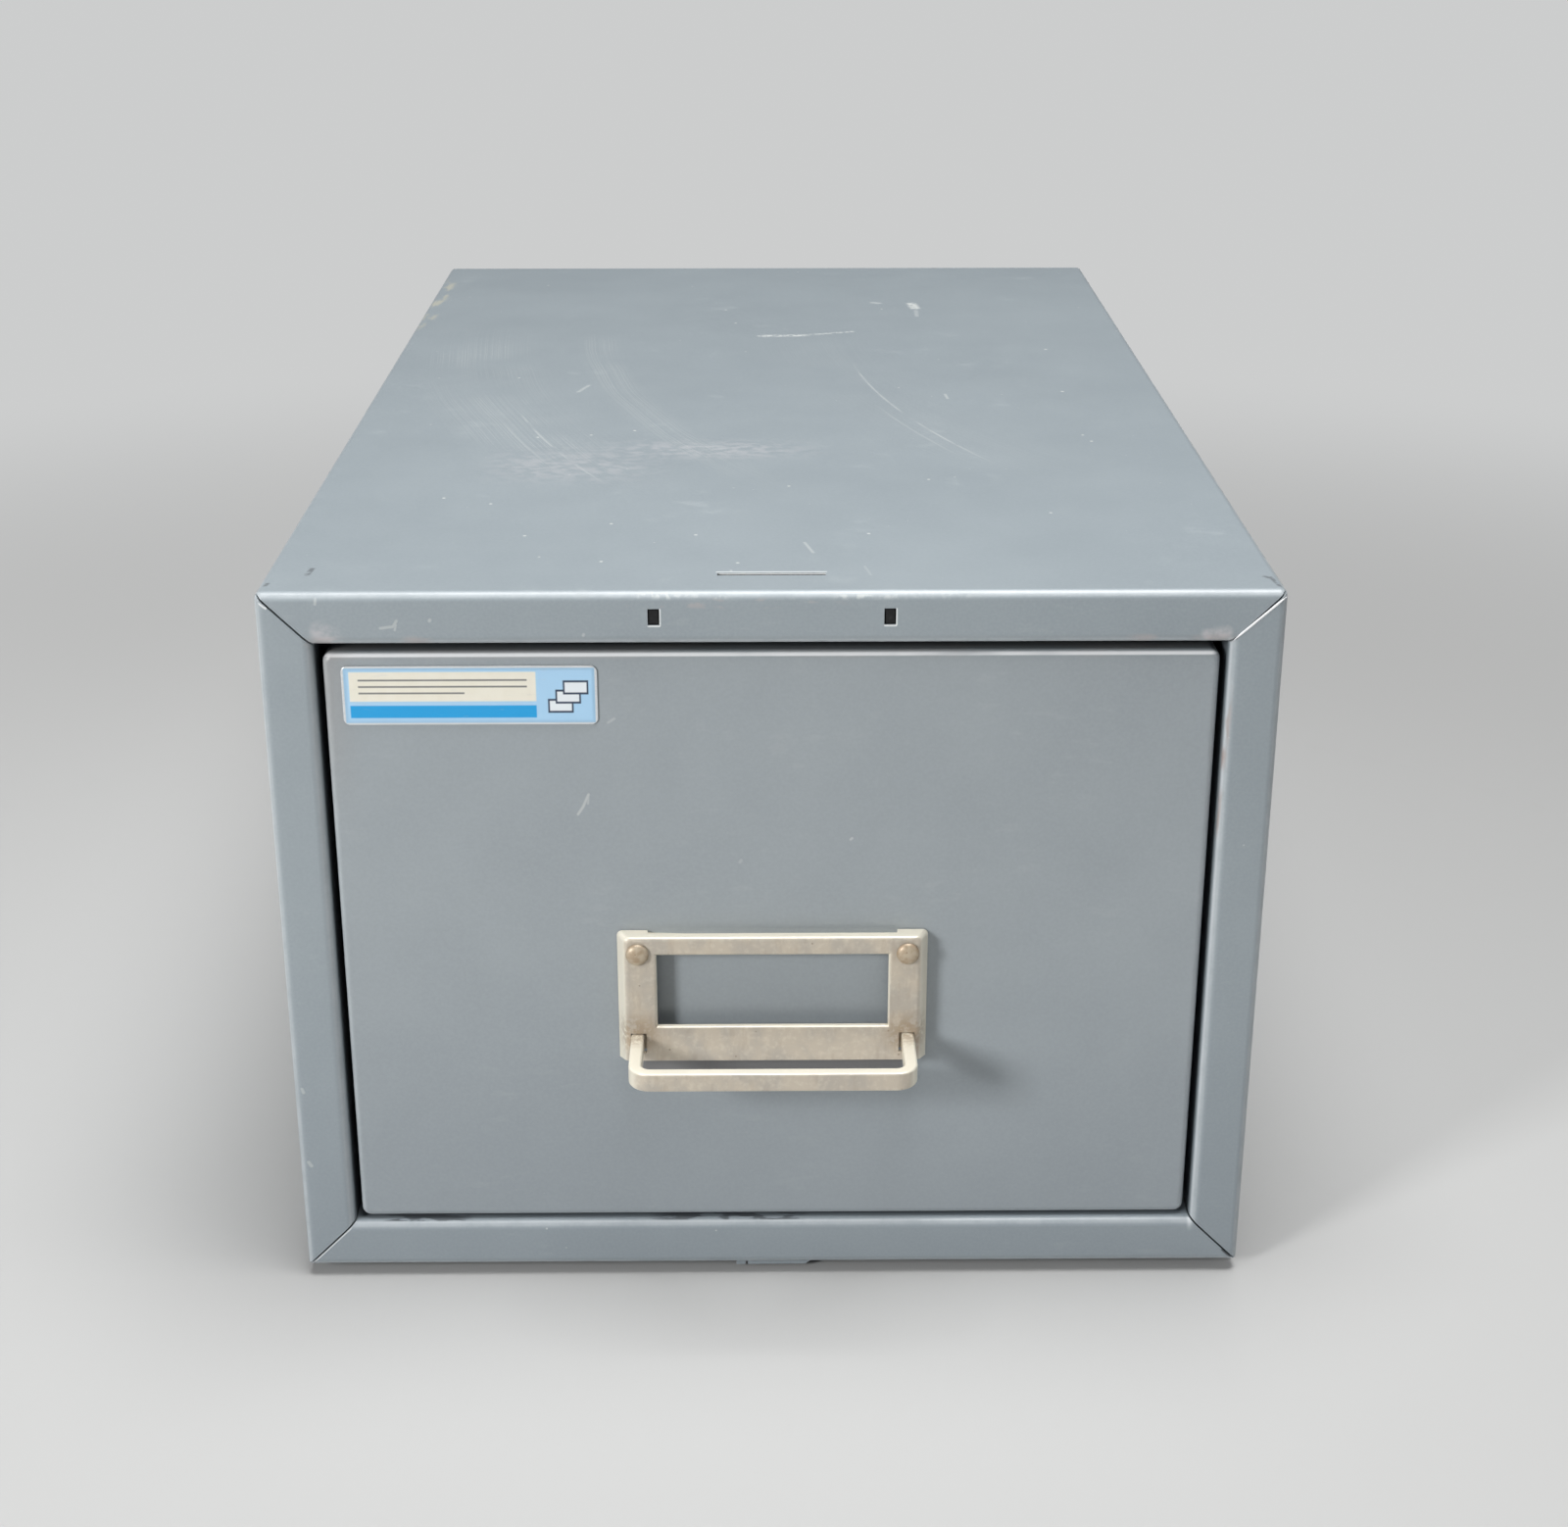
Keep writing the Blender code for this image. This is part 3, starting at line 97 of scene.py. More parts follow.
class Finish:
    """A material with its Principled shader, and the patterns that its coat is made from."""

    def __init__(self, name, **constants):
        self.material = bpy.data.materials.new(name)
        self.material.use_nodes = True
        self.nodes = self.material.node_tree.nodes
        self.shader = self.nodes["Principled BSDF"]
        for socket, value in constants.items():
            self.shader.inputs[socket.replace("_", " ")].default_value = value
        self.place = self.node("TexCoord", {}, {}, "Object")
        self.x, self.y, self.z = (self.node("SeparateXYZ", {}, {0: self.place}, axis) for axis in range(3))

    def node(self, kind, settings, inputs, output=0):
        """A node with its settings made first, then a value or a wire in each named socket."""
        node = self.nodes.new(f"ShaderNode{kind}")
        for name, value in settings.items():
            setattr(node, name, value)
        for name, value in inputs.items():
            if isinstance(value, Wire):
                self.material.node_tree.links.new(value.socket, node.inputs[name])
            else:
                node.inputs[name].default_value = value
        return Wire(self, node.outputs[output])

    def vector(self, operation, first, second, output=0):
        return self.node("VectorMath", {"operation": operation}, {0: first, 1: second}, output)

    def facing(self):
        """How squarely a place faces right or left, front or back, up or down: three wires, each 0 to 1."""
        normal = self.node("TexCoord", {}, {}, "Normal")
        parts = (self.node("SeparateXYZ", {}, {0: normal}, axis) for axis in range(3))
        return [self.node("Math", {"operation": "ABSOLUTE"}, {0: part}) for part in parts]

    def noise(self, grain, detail=2, stretch=(1, 1, 1)):
        """Clouds from 0 to 1 with lumps about as wide as the grain, in metres, longer where stretched."""
        scale = Vector([1 / (grain * along) for along in stretch])
        place = self.node("Mapping", {}, {"Vector": self.place, "Scale": scale})
        return self.node("TexNoise", {}, {"Vector": place, "Scale": 1.0, "Detail": detail})

    def ease(self, value, low, high):
        """0 below low and 1 above high, with a soft step between; low may be above high."""
        settings = {"interpolation_type": "SMOOTHSTEP", "clamp": True}
        return self.node("MapRange", settings, {"Value": value, "From Min": low, "From Max": high})

    def within(self, value, low, high, soft):
        return self.ease(value, low - soft, low + soft) * self.ease(value, high + soft, high - soft)

    def mix(self, share, first, second):
        """The first colour at 0 and the second at 1."""
        return self.node("Mix", {"data_type": "RGBA"}, {0: share, 6: first, 7: second}, 2)

    def dots(self, spacing, size, share):
        """Small round specks on a share of the cells of a mesh about as wide as the spacing."""
        settings = {"feature": "F1"}
        inputs = {"Vector": self.place, "Scale": 1 / spacing}
        distance = self.node("TexVoronoi", settings, inputs, "Distance")
        chance = self.node("TexVoronoi", settings, inputs, "Color")
        pick, jitter, _ = (self.node("SeparateColor", {}, {0: chance}, channel) for channel in range(3))
        radius = size / spacing
        return self.ease(distance, radius * 1.3 * (jitter + 0.2), radius * 0.6 * jitter) * (pick < share)

    def stroke(self, start, end, width):
        """A soft line from one point to another."""
        start, end = Vector(start), Vector(end)
        along = end - start
        offset = self.vector("SUBTRACT", self.place, start)
        share = self.vector("DOT_PRODUCT", offset, along / along.length_squared, "Value")
        share = self.node("Clamp", {}, {"Value": share})
        nearest = self.node("VectorMath", {"operation": "SCALE"}, {0: along, "Scale": share})
        distance = self.vector("DISTANCE", offset, nearest, "Value")
        return self.ease(distance, width, width * 0.3)

    def arc(self, centre, radius, width):
        """A soft curved line round a centre."""
        apart = self.vector("DISTANCE", self.place, centre, "Value")
        return self.within(apart, radius - width / 2, radius + width / 2, width / 4)

    def close(self, colour, roughness, height=None, relief=0.0001, metallic=None):
        """Joins the worked out colour, roughness and relief to the shader."""
        links = self.material.node_tree.links
        links.new(colour.socket, self.shader.inputs["Base Color"])
        links.new(roughness.socket, self.shader.inputs["Roughness"])
        if metallic is not None:
            links.new(metallic.socket, self.shader.inputs["Metallic"])
        if height is not None:
            bump = self.node("Bump", {}, {"Height": height, "Distance": relief, "Strength": 1.0})
            links.new(bump.socket, self.shader.inputs["Normal"])
        return self.material


ENAMEL = tone(144, 153, 158)
ENAMEL_PALE = tone(186, 194, 198)
ENAMEL_WORN = tone(178, 170, 168)
ENAMEL_DEEP = tone(112, 121, 130)
SCUFF_AND_SHADE_DARK = tone(84, 86, 88)
SCUFF_AND_HIGHLIGHT_WHITE = tone(226, 228, 222)
BARE_EDGE_AND_HIGHLIGHT = tone(236, 239, 238)


def enamel(name, marks=None, base=ENAMEL):
    """Baked satin enamel: clouds, grain, rubbed places, painted shade low down, pale bends as painted
    highlights, dust, its own marks.
    """
    coat = Finish(name, Coat_Weight=0.24, Coat_Roughness=0.30)
    clouds = coat.noise(0.11, 3) * 0.6 + coat.noise(0.021, 3) * 0.4
    deeper, paler = coat.mix(0.10, base, ENAMEL_DEEP), coat.mix(0.07, base, ENAMEL_PALE)
    colour = coat.mix(coat.ease(clouds, 0.30, 0.72), deeper, paler)
    grain = coat.noise(0.00075, 2)
    colour = coat.mix(coat.ease(grain, 0.25, 0.8) * 0.10, colour, ENAMEL_PALE)
    rubbed = coat.ease(coat.noise(0.0016, 3, (5, 4, 1.5)), 0.56, 0.74)
    rubbed = rubbed * coat.ease(coat.noise(0.03, 2), 0.46, 0.66)
    colour = coat.mix(rubbed * 0.05, colour, SCUFF_AND_HIGHLIGHT_WHITE)
    # Painted shade: darker toward the bottom
    colour = coat.mix(coat.ease(coat.z, 0.110, 0.010) * 0.26, colour, ENAMEL_DEEP)
    # Painted highlight: every bend is paled, partly as rubbed paint
    side, front, up = coat.facing()
    uneven = coat.ease(coat.noise(0.006, 3), 0.30, 0.60) * 0.4 + 0.6
    bend = coat.ease(side | front | up, 0.985, 0.82) * uneven
    colour = coat.mix(bend * 0.27, colour, tone(216, 220, 222))
    dust = coat.dots(0.0050, 0.00030, 0.20)
    colour = coat.mix(dust * 0.40, colour, SCUFF_AND_HIGHLIGHT_WHITE)
    roughness = coat.noise(0.05, 2) * 0.10 + 0.33 + rubbed * 0.10 + grain * 0.05
    height = coat.noise(0.0022, 2) * 0.55 + grain * 0.22 + dust * 0.25
    if marks:
        colour, roughness, height = marks(coat, colour, roughness, height)
    return coat.close(colour, roughness, height, 0.00003)


CASE_LOW, CASE_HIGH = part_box("case_wrapper")
SIDE, FACE, TOP = CASE_HIGH.x, CASE_LOW.y, CASE_HIGH.z
FRAME_WIDTH = 0.0131
INNER_HIGH = TOP - FRAME_WIDTH
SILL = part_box("case_bottom")[1].z

# Marks on the top: start and end (across, back), width, strength
SCRAPES = (
    ((-0.0018, 0.0918), (0.0120, 0.0925), 0.0022, 1.0),
    ((0.0120, 0.0925), (0.0290, 0.0985), 0.0014, 0.8),
)
CHIPS = (((0.0523, 0.1460), (0.0531, 0.1380), 0.0026, 1.0),)
CHIP_TRAILS = (
    ((0.0532, 0.1340), (0.0530, 0.1240), 0.0011, 0.35),
    ((0.0385, 0.1480), (0.0405, 0.1470), 0.0018, 0.5),
)
TOP_TICKS = (
    ((-0.0591, 0.0106), (-0.0563, 0.0195), 0.0009, 1.0),
    ((0.0084, -0.1512), (0.0104, -0.1599), 0.0006, 1.0),
    ((0.0547, 0.0066), (0.0551, 0.0006), 0.0007, 1.0),
    ((0.0226, -0.1711), (0.0239, -0.1782), 0.0005, 0.5),
)
TOP_SCUFFS = (
    ((-0.1117, -0.1770), (-0.1112, -0.1720), 0.0010, 1.0),
    ((-0.1202, -0.1852), (-0.1199, -0.1837), 0.0008, 1.0),
    ((0.1182, -0.1803), (0.1192, -0.1815), 0.0009, 1.0),
    ((0.1196, -0.1811), (0.1205, -0.1876), 0.0008, 1.0),
)
# White specks on the top: across and back
TOP_SPECKS = (
    (-0.0867, -0.1096), (-0.0737, -0.1153), (-0.0622, -0.1447), (-0.0409, -0.1342), (-0.0393, -0.0379),
    (-0.0517, -0.0430), (-0.0670, -0.0454), (-0.0110, 0.1129), (-0.0147, 0.1358), (0.0912, -0.0444),
    (0.0730, -0.1252), (0.0248, -0.1436), (-0.0082, -0.1682), (-0.0190, -0.1444), (-0.0416, -0.1668),
    (0.0051, -0.0987), (0.0433, -0.0923), (-0.0817, 0.1815),
)
# Marks on the front frame: start and end (across, up), width, strength
FRAME_TICKS = (
    ((-0.0926, 0.1798), (-0.0896, 0.1802), 0.0005, 1.0),
    ((-0.0896, 0.1802), (-0.0887, 0.1816), 0.0005, 1.0),
    ((-0.0892, 0.1793), (-0.0889, 0.1806), 0.0004, 1.0),
    ((-0.0809, 0.1816), (-0.0808, 0.1818), 0.0006, 1.0),
    ((-0.0447, 0.1778), (-0.0446, 0.1781), 0.0005, 1.0),
    ((-0.1074, 0.1877), (-0.1076, 0.1858), 0.0005, 1.0),
    ((-0.1198, 0.0345), (-0.1192, 0.0335), 0.0007, 1.0),
    ((-0.1200, 0.0560), (-0.1197, 0.0550), 0.0006, 1.0),
)
CORNER_BLOTCHES = (
    ((-0.1072, 0.1792), (-0.1040, 0.1778), 0.0030, 1.0),
    ((0.1035, 0.1775), (0.1078, 0.1782), 0.0022, 1.0),
)
HOLE_MIDDLES = (-0.0280, 0.0280)
HOLE_LOW, HOLE_HIGH = 0.1801, 0.1842
LEFT_MITRE_TIP = (((-0.1221, 0.1868), (-0.1193, 0.1848), 0.00040, 1.0),)
LEFT_LOWER_MITRE = (((-0.1212, 0.0036), (-0.1098, 0.0150), 0.00032, 1.0),)
RIGHT_LOWER_MITRE = (((0.1182, 0.0066), (0.1213, 0.0036), 0.00045, 1.0),)
# What a wiping arm swept over the top: the middle of its rings, and of the lines at the right and the left
RING_CENTRE = (0.345, 0.110, TOP)
RIGHT_CENTRE = (0.3948, 0.0847, TOP)
LEFT_CENTRE = (0.3131, 0.0846, TOP)
SLOT_HALF, SLOT_FRONT, SLOT_BACK = 0.0134, -0.1776, -0.1752


def on_top(across, back):
    return across, back, TOP


def on_face(across, up):
    return across, FACE, up


def laid(coat, spot, marks):
    """Soft lines from a table of start, end, width and strength; the strongest shows at each place."""
    shown = 0.0
    for start, end, width, strength in marks:
        shown = coat.stroke(spot(*start), spot(*end), width) * strength | shown
    return shown


def swept_lines(coat):
    """Hair lines that curve over the top, and a few short ticks."""
    faint = coat.ease(coat.noise(0.012, 3), 0.30, 0.62)
    lines = coat.arc(RIGHT_CENTRE, 0.3688, 0.0007) * coat.within(coat.y, -0.066, 0.040, 0.016) * faint
    lines = lines | coat.arc(RIGHT_CENTRE, 0.3735, 0.0006) * coat.within(coat.y, -0.062, -0.014, 0.010) * 0.5
    lines = lines | coat.arc(LEFT_CENTRE, 0.4007, 0.0007) * coat.within(coat.y, -0.088, -0.022, 0.012) * faint
    lines = lines | coat.arc(LEFT_CENTRE, 0.4075, 0.0006) * coat.within(coat.y, -0.070, -0.030, 0.012) * 0.5
    return lines | laid(coat, on_top, TOP_TICKS)


def swept_rings(coat):
    """Bundles of faint rings, as a wiping arm leaves them, mostly over the left half."""
    apart = coat.vector("DISTANCE", coat.place, RING_CENTRE, "Value")
    waver = coat.noise(0.06, 2) * 0.004 + apart
    rings = coat.node("TexNoise", {"noise_dimensions": "1D"}, {"W": waver * 780, "Detail": 2.0})
    bundles = coat.within(apart, 0.428, 0.458, 0.010) | coat.within(apart, 0.397, 0.408, 0.003)
    bundles = bundles | coat.within(apart, 0.318, 0.345, 0.012) * 0.45
    rings = coat.ease(rings, 0.50, 0.68) * bundles * coat.within(coat.y, -0.085, 0.090, 0.030)
    return rings * coat.ease(coat.noise(0.030, 2), 0.28, 0.55)


def rubbed_smear(coat):
    smear = coat.within(coat.x, -0.044, 0.008, 0.014) * coat.within(coat.y, -0.0680, -0.0520, 0.0070) * 0.8
    second = coat.within(coat.x, -0.075, -0.035, 0.012) * coat.within(coat.y, -0.090, -0.062, 0.014)
    return (smear | second * 0.7) * coat.ease(coat.noise(0.0018, 3, (2, 1.4, 1)), 0.40, 0.62)


def lip_wear(coat):
    """Paint gone from the lower edge of the top flange, toward both corners."""
    behind = coat.y - FACE
    lip = coat.within(coat.z, INNER_HIGH - 0.0002, INNER_HIGH + 0.0022, 0.0007)
    lip = lip * coat.ease(behind, 0.00285, 0.00055)
    reach = coat.within(coat.x, -0.1096, -0.1020, 0.003) | coat.within(coat.x, -0.0870, -0.0815, 0.002)
    reach = reach | coat.within(coat.x, 0.086, 0.092, 0.003) | coat.within(coat.x, 0.101, 0.109, 0.003)
    return lip * reach * coat.ease(coat.noise(0.003, 3, (2, 1, 1)), 0.40, 0.56)


def top_marks(coat, colour, rough_edge):
    """Pale scrapes, rings, lines, specks and a smear on the top, dark scuffs at its front corners."""
    top = coat.z > TOP - 0.0010
    scrape = laid(coat, on_top, SCRAPES) * coat.ease(rough_edge, 0.36, 0.56)
    chip = laid(coat, on_top, CHIPS) * coat.ease(rough_edge, 0.3, 0.5) | laid(coat, on_top, CHIP_TRAILS)
    colour = coat.mix((scrape | chip) * top * 0.50, colour, SCUFF_AND_HIGHLIGHT_WHITE)
    rings = swept_rings(coat)
    colour = coat.mix(rings * top * 0.24, colour, SCUFF_AND_HIGHLIGHT_WHITE)
    lines = swept_lines(coat)
    colour = coat.mix(lines * top * 0.24, colour, SCUFF_AND_HIGHLIGHT_WHITE)
    specks = coat.dots(0.010, 0.00050, 0.30)
    for across, back in TOP_SPECKS:
        apart = coat.vector("DISTANCE", coat.place, on_top(across, back), "Value")
        specks = specks | coat.ease(apart, 0.00060, 0.00030)
    colour = coat.mix(specks * top * 0.60, colour, SCUFF_AND_HIGHLIGHT_WHITE)
    smear = rubbed_smear(coat)
    colour = coat.mix(smear * top * 0.36, colour, tone(194, 190, 192))
    # A yellowed strip along the left edge, toward the back
    yellow = coat.within(coat.x, 0.00075 - SIDE, 0.00525 - SIDE, 0.0012)
    yellow = yellow * coat.within(coat.y, 0.108, 0.190, 0.010)
    yellow = yellow * coat.ease(coat.noise(0.005, 3, (1, 3, 1)), 0.48, 0.62)
    colour = coat.mix(yellow * top * 0.45, colour, tone(204, 198, 172))
    scuff = laid(coat, on_top, TOP_SCUFFS)
    colour = coat.mix(scuff * coat.ease(rough_edge, 0.34, 0.52) * 0.6, colour, SCUFF_AND_SHADE_DARK)
    # The slot's cut edge, with painted shade low in it and a painted highlight above, and its bright rear rim
    slot = coat.within(coat.x, -SLOT_HALF, SLOT_HALF, 0.0002)
    cut = slot * coat.within(coat.y, SLOT_FRONT, SLOT_BACK, 0.0002)
    cut = cut * coat.ease(coat.z, TOP - 0.00001, TOP - 0.00010)
    colour = coat.mix(cut, colour, SCUFF_AND_SHADE_DARK)
    colour = coat.mix(cut * coat.ease(coat.z, TOP - 0.00044, TOP - 0.00034), colour, tone(244, 246, 244))
    rim = slot * coat.within(coat.y, SLOT_BACK - 0.0006, SLOT_BACK - 0.0001, 0.0002)
    colour = coat.mix(rim * top * 0.8, colour, BARE_EDGE_AND_HIGHLIGHT)
    return colour, scrape | chip, rings * 0.15 + lines * 0.3, smear


def frame_marks(coat, colour, rough_edge):
    """Rubbed bends, worn and chipped edges, hole rims and mitres of the front frame, with painted highlights
    and painted shade among them.
    """
    behind = coat.y - FACE
    # The front bend, paled in patches as rubbed paint and as a painted highlight, and worn paint just under
    # it
    bend = coat.within(coat.z, TOP - 0.0017, TOP - 0.0005, 0.0006) * coat.ease(behind, 0.00235, 0.00085)
    bend = bend * coat.within(coat.x, -0.040, 0.040, 0.02)
    patches = coat.ease(coat.noise(0.012, 3, (3, 1, 1)), 0.50, 0.60) * coat.ease(rough_edge, 0.46, 0.60)
    colour = coat.mix(bend * patches * 0.4, colour, SCUFF_AND_HIGHLIGHT_WHITE)
    below = coat.within(coat.z, TOP - 0.0039, TOP - 0.0017, 0.0005) * coat.within(coat.x, -0.032, 0.012, 0.01)
    below = below * coat.ease(behind, 0.00085, 0.00015)
    below = below * coat.ease(coat.noise(0.0018, 3, (3, 1, 1)), 0.54, 0.64)
    colour = coat.mix(below * 0.5, colour, ENAMEL_WORN)
    flaked = lip_wear(coat)
    colour = coat.mix(flaked * 0.55, colour, ENAMEL_WORN)
    # Rubbed pale places by the two upper inner corners
    blotch = laid(coat, on_face, CORNER_BLOTCHES) * coat.ease(coat.noise(0.0032, 3), 0.30, 0.62)
    colour = coat.mix(blotch * 0.42, colour, tone(212, 204, 204))
    # Painted highlights on the left outer bend and the right flange's inner bend, where the light from the
    # left falls
    outer = coat.ease(coat.x, 0.00075 - SIDE, 0.00025 - SIDE) * coat.ease(behind, 0.00215, 0.00085)
    outer = outer * coat.ease(coat.z, 0.03, 0.15)
    inner = coat.within(coat.x, 0.1086, 0.1096, 0.0005) * coat.within(coat.z, 0.014, 0.176, 0.002)
    bend_highlights = outer * 0.45 | inner * coat.ease(behind, 0.00215, 0.00095) * 0.55
    colour = coat.mix(bend_highlights, colour, tone(232, 236, 238))
    # A rubbed, rust tinged inner edge of the right flange, and a broken dark line along the sill's upper
    # edge, at the gap under the drawer front
    rub = coat.within(coat.x, 0.1088, 0.1102, 0.0008) * coat.within(coat.z, 0.118, 0.171, 0.012)
    rub = rub * coat.ease(coat.noise(0.004, 3, (1, 1, 4)), 0.46, 0.60) * coat.ease(behind, 0.00335, 0.00135)
    colour = coat.mix(rub * 0.6, colour, tone(150, 118, 104))
    sill_dark_line = coat.within(coat.z, SILL - 0.00025, SILL + 0.0003, 0.0001)
    sill_dark_line = sill_dark_line * coat.within(behind, 0.00075, 0.00435, 0.0002)
    spread = coat.within(coat.x, -0.101, -0.080, 0.003) | coat.within(coat.x, -0.030, 0.008, 0.004)
    sill_dark_line = sill_dark_line * spread * coat.ease(coat.noise(0.0022, 3, (3, 1, 1)), 0.44, 0.52)
    colour = coat.mix(sill_dark_line * 0.7, colour, tone(60, 62, 66))
    # Painted highlights on the right and the lower rims of the two holes, and the worn tip where the left
    # mitre starts
    rims = []
    for middle in HOLE_MIDDLES:
        rims.append(((middle + 0.0015, HOLE_LOW + 0.0002), (middle + 0.0015, HOLE_HIGH), 0.00035, 1.0))
        rims.append(((middle - 0.0012, HOLE_LOW), (middle + 0.0014, HOLE_LOW), 0.00035, 1.0))
    rim_highlights_and_worn_tip = laid(coat, on_face, (*rims, *LEFT_MITRE_TIP))
    colour = coat.mix(rim_highlights_and_worn_tip * 0.75, colour, BARE_EDGE_AND_HIGHLIGHT)
    # The lower mitres: a painted highlight on the cut edge on the left, painted shade in the open end on the
    # right
    colour = coat.mix(laid(coat, on_face, LEFT_LOWER_MITRE) * 0.6, colour, BARE_EDGE_AND_HIGHLIGHT)
    colour = coat.mix(laid(coat, on_face, RIGHT_LOWER_MITRE) * 0.85, colour, tone(20, 22, 25))
    ticks = laid(coat, on_face, FRAME_TICKS) * (behind < 0.00135)
    colour = coat.mix(ticks * 0.28, colour, SCUFF_AND_HIGHLIGHT_WHITE)
    return colour, patches * bend | flaked


def case_marks(coat, colour, roughness, height):
    """What forty years left on the top and the front frame, with painted shade inside the case."""
    # Painted shade: a darker coat behind the frame, inside the case
    inside_shade = coat.ease(coat.y, -0.1893, -0.1870) * coat.within(coat.x, 0.00105 - SIDE, SIDE - 0.00105, 0.0003)
    inside_shade = inside_shade * coat.within(coat.z, 0.0041, TOP - 0.0010, 0.0003)
    colour = coat.mix(inside_shade * 0.65, colour, tone(66, 72, 78))
    rough_edge = coat.noise(0.0016, 3)
    colour, chipped, raised, smear = top_marks(coat, colour, rough_edge)
    colour, rubbed = frame_marks(coat, colour, rough_edge)
    worn = chipped | rubbed
    return colour, roughness + worn * 0.2 + smear * 0.08, height - worn * 0.6 - raised


def even_out(piece, edge=0.0):
    """Breaks the sharp edges, where a width is given, and keeps flat faces flat in the light."""
    if edge:
        broken = piece.modifiers.new("broken_edges", "BEVEL")
        broken.width = edge
        broken.segments = 2
        broken.limit_method = "ANGLE"
        broken.angle_limit = math.radians(40)
    even = piece.modifiers.new("even_shading", "WEIGHTED_NORMAL")
    even.weight = 60


def dress(name, finish, edge=0.0):
    """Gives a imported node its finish, joins its triangles to whole faces and breaks its sharp edges."""
    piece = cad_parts[name]
    piece.data.materials.clear()
    piece.data.materials.append(finish)
    piece.data.polygons.foreach_set("use_smooth", [True] * len(piece.data.polygons))
    piece.modifiers.new("joined_corners", "WELD").merge_threshold = 0.000005
    whole = piece.modifiers.new("whole_faces", "DECIMATE")
    whole.decimate_type = "DISSOLVE"
    whole.angle_limit = math.radians(0.8)
    even_out(piece, edge)


def join_rings(shape, rings):
    """Walls between each closed ring of points and the next one."""
    for near, far in zip(rings, rings[1:]):
        for turn in range(len(near)):
            after = (turn + 1) % len(near)
            shape.faces.new((near[turn], near[after], far[after], far[turn]))


def shape_mesh(name, shape, closed=()):
    """The finished mesh of a shape, with its first and last ring closed where they are given."""
    if closed:
        shape.faces.new(closed[0])
        shape.faces.new(reversed(closed[-1]))
    bmesh.ops.recalc_face_normals(shape, faces=shape.faces)
    mesh = bpy.data.meshes.new(name)
    shape.to_mesh(mesh)
    shape.free()
    return mesh


def mitre_bead():
    """A thin bead of filler along the upper right mitre, thinner toward both ends, pure white as a painted
    highlight.
    """
    start = Vector((SIDE - 0.01285, TOP - 0.0121))
    end = Vector((SIDE - 0.00095, TOP - 0.0012))
    beside, half_width, thickness, sunk = 0.00045, 0.00032, 0.00022, 0.00001
    steps, turns = 24, 6
    along = (end - start).normalized()
    across = Vector((along.y, -along.x))
    shape = bmesh.new()
    rows = []
    for step in range(steps + 1):
        share = step / steps
        swell = min(1.0, 6 * share + 0.15, 6 * (1 - share) + 0.15)
        middle = start + (end - start) * share + across * beside
        row = []
        for turn in range(turns + 1):
            angle = math.pi * turn / turns
            point = middle + across * half_width * swell * math.cos(angle)
            proud = thickness * swell * math.sin(angle) - sunk
            row.append(shape.verts.new((point.x, FACE - proud, point.y)))
        rows.append(row)
    join_rings(shape, rows)
    mesh = shape_mesh("mitre_bead", shape, rows)
    mesh.polygons.foreach_set("use_smooth", [True] * len(mesh.polygons))
    # Pure white as a painted highlight along the mitre
    mesh.materials.append(enamel("bead_white_highlight", None, tone(255, 255, 255)))
    bead = bpy.data.objects.new("mitre_bead", mesh)
    bpy.context.collection.objects.link(bead)
    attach(bead, "case")


case_enamel = enamel("case_enamel", case_marks)
dress("case_wrapper", case_enamel, 0.00018)
mitre_bead()

# Case bottom: a sheet pan with its own mitred front flange, a shelf behind it and a small stacking tab.
# The same enamel as the wrapper, spot-welded inside the two walls.

dress("case_bottom", case_enamel, 0.00018)

# Case back: a shallow pan of the same sheet, set between the walls and spot-welded by its flanges.
# Its outer face carries the plain enamel, without the wear of the front.

dress("case_back", enamel("back_enamel"), 0.00018)

# Stacking clip and runners: steel strip, folded in a press and spot-welded to the case.
# The runners are zinc plated and carry the drawer. The clip is near black, as painted shade for the two holes
# its lugs show in.

ZINC = tone(176, 178, 180)
ZINC_DULL = tone(128, 130, 131)
ZINC_BRIGHT = tone(205, 207, 206)


def zinc(name, along=(1, 18, 1)):
    """Zinc plate over rolled strip: rolling lines along one way, spangle patches and dull spots."""
    coat = Finish(name)
    rolled = coat.noise(0.0007, 2, along)
    patches = coat.node("TexVoronoi", {}, {"Vector": coat.place, "Scale": 170.0}, "Color")
    patch = coat.node("SeparateColor", {}, {0: patches}, 0)
    colour = coat.mix(coat.ease(rolled, 0.3, 0.7), ZINC_DULL, ZINC)
    colour = coat.mix(patch * 0.35, colour, ZINC_BRIGHT)
    spots = coat.ease(coat.noise(0.006, 4), 0.58, 0.72)
    colour = coat.mix(spots * 0.4, colour, tone(110, 106, 98))
    roughness = rolled * 0.14 + patch * 0.06 + spots * 0.18 + 0.27
    return coat.close(colour, roughness, rolled * 0.5 + spots * 0.5, 0.00003, 0.72 - spots * 0.3)


def lug_black_shade():
    """The clip's dull near-black finish, painted shade where its lugs show in the two holes, with worn grey
    at its edges.
    """
    coat = Finish("clip_black")
    wear = coat.ease(coat.noise(0.0012, 3), 0.56, 0.72)
    colour = coat.mix(wear * 0.25, tone(9, 9, 11), tone(70, 70, 70))
    return coat.close(colour, wear * 0.1 + 0.6, wear, 0.00002)


strip_zinc = zinc("zinc_strip")
dress("stacking_clip", lug_black_shade(), 0.00010)
dress("runner_left", strip_zinc, 0.00012)
dress("runner_right", strip_zinc, 0.00012)

# Feet: four soft rubber buttons whose stems are pushed through holes in the case bottom.
# Moulded black, gone a little grey with dust.


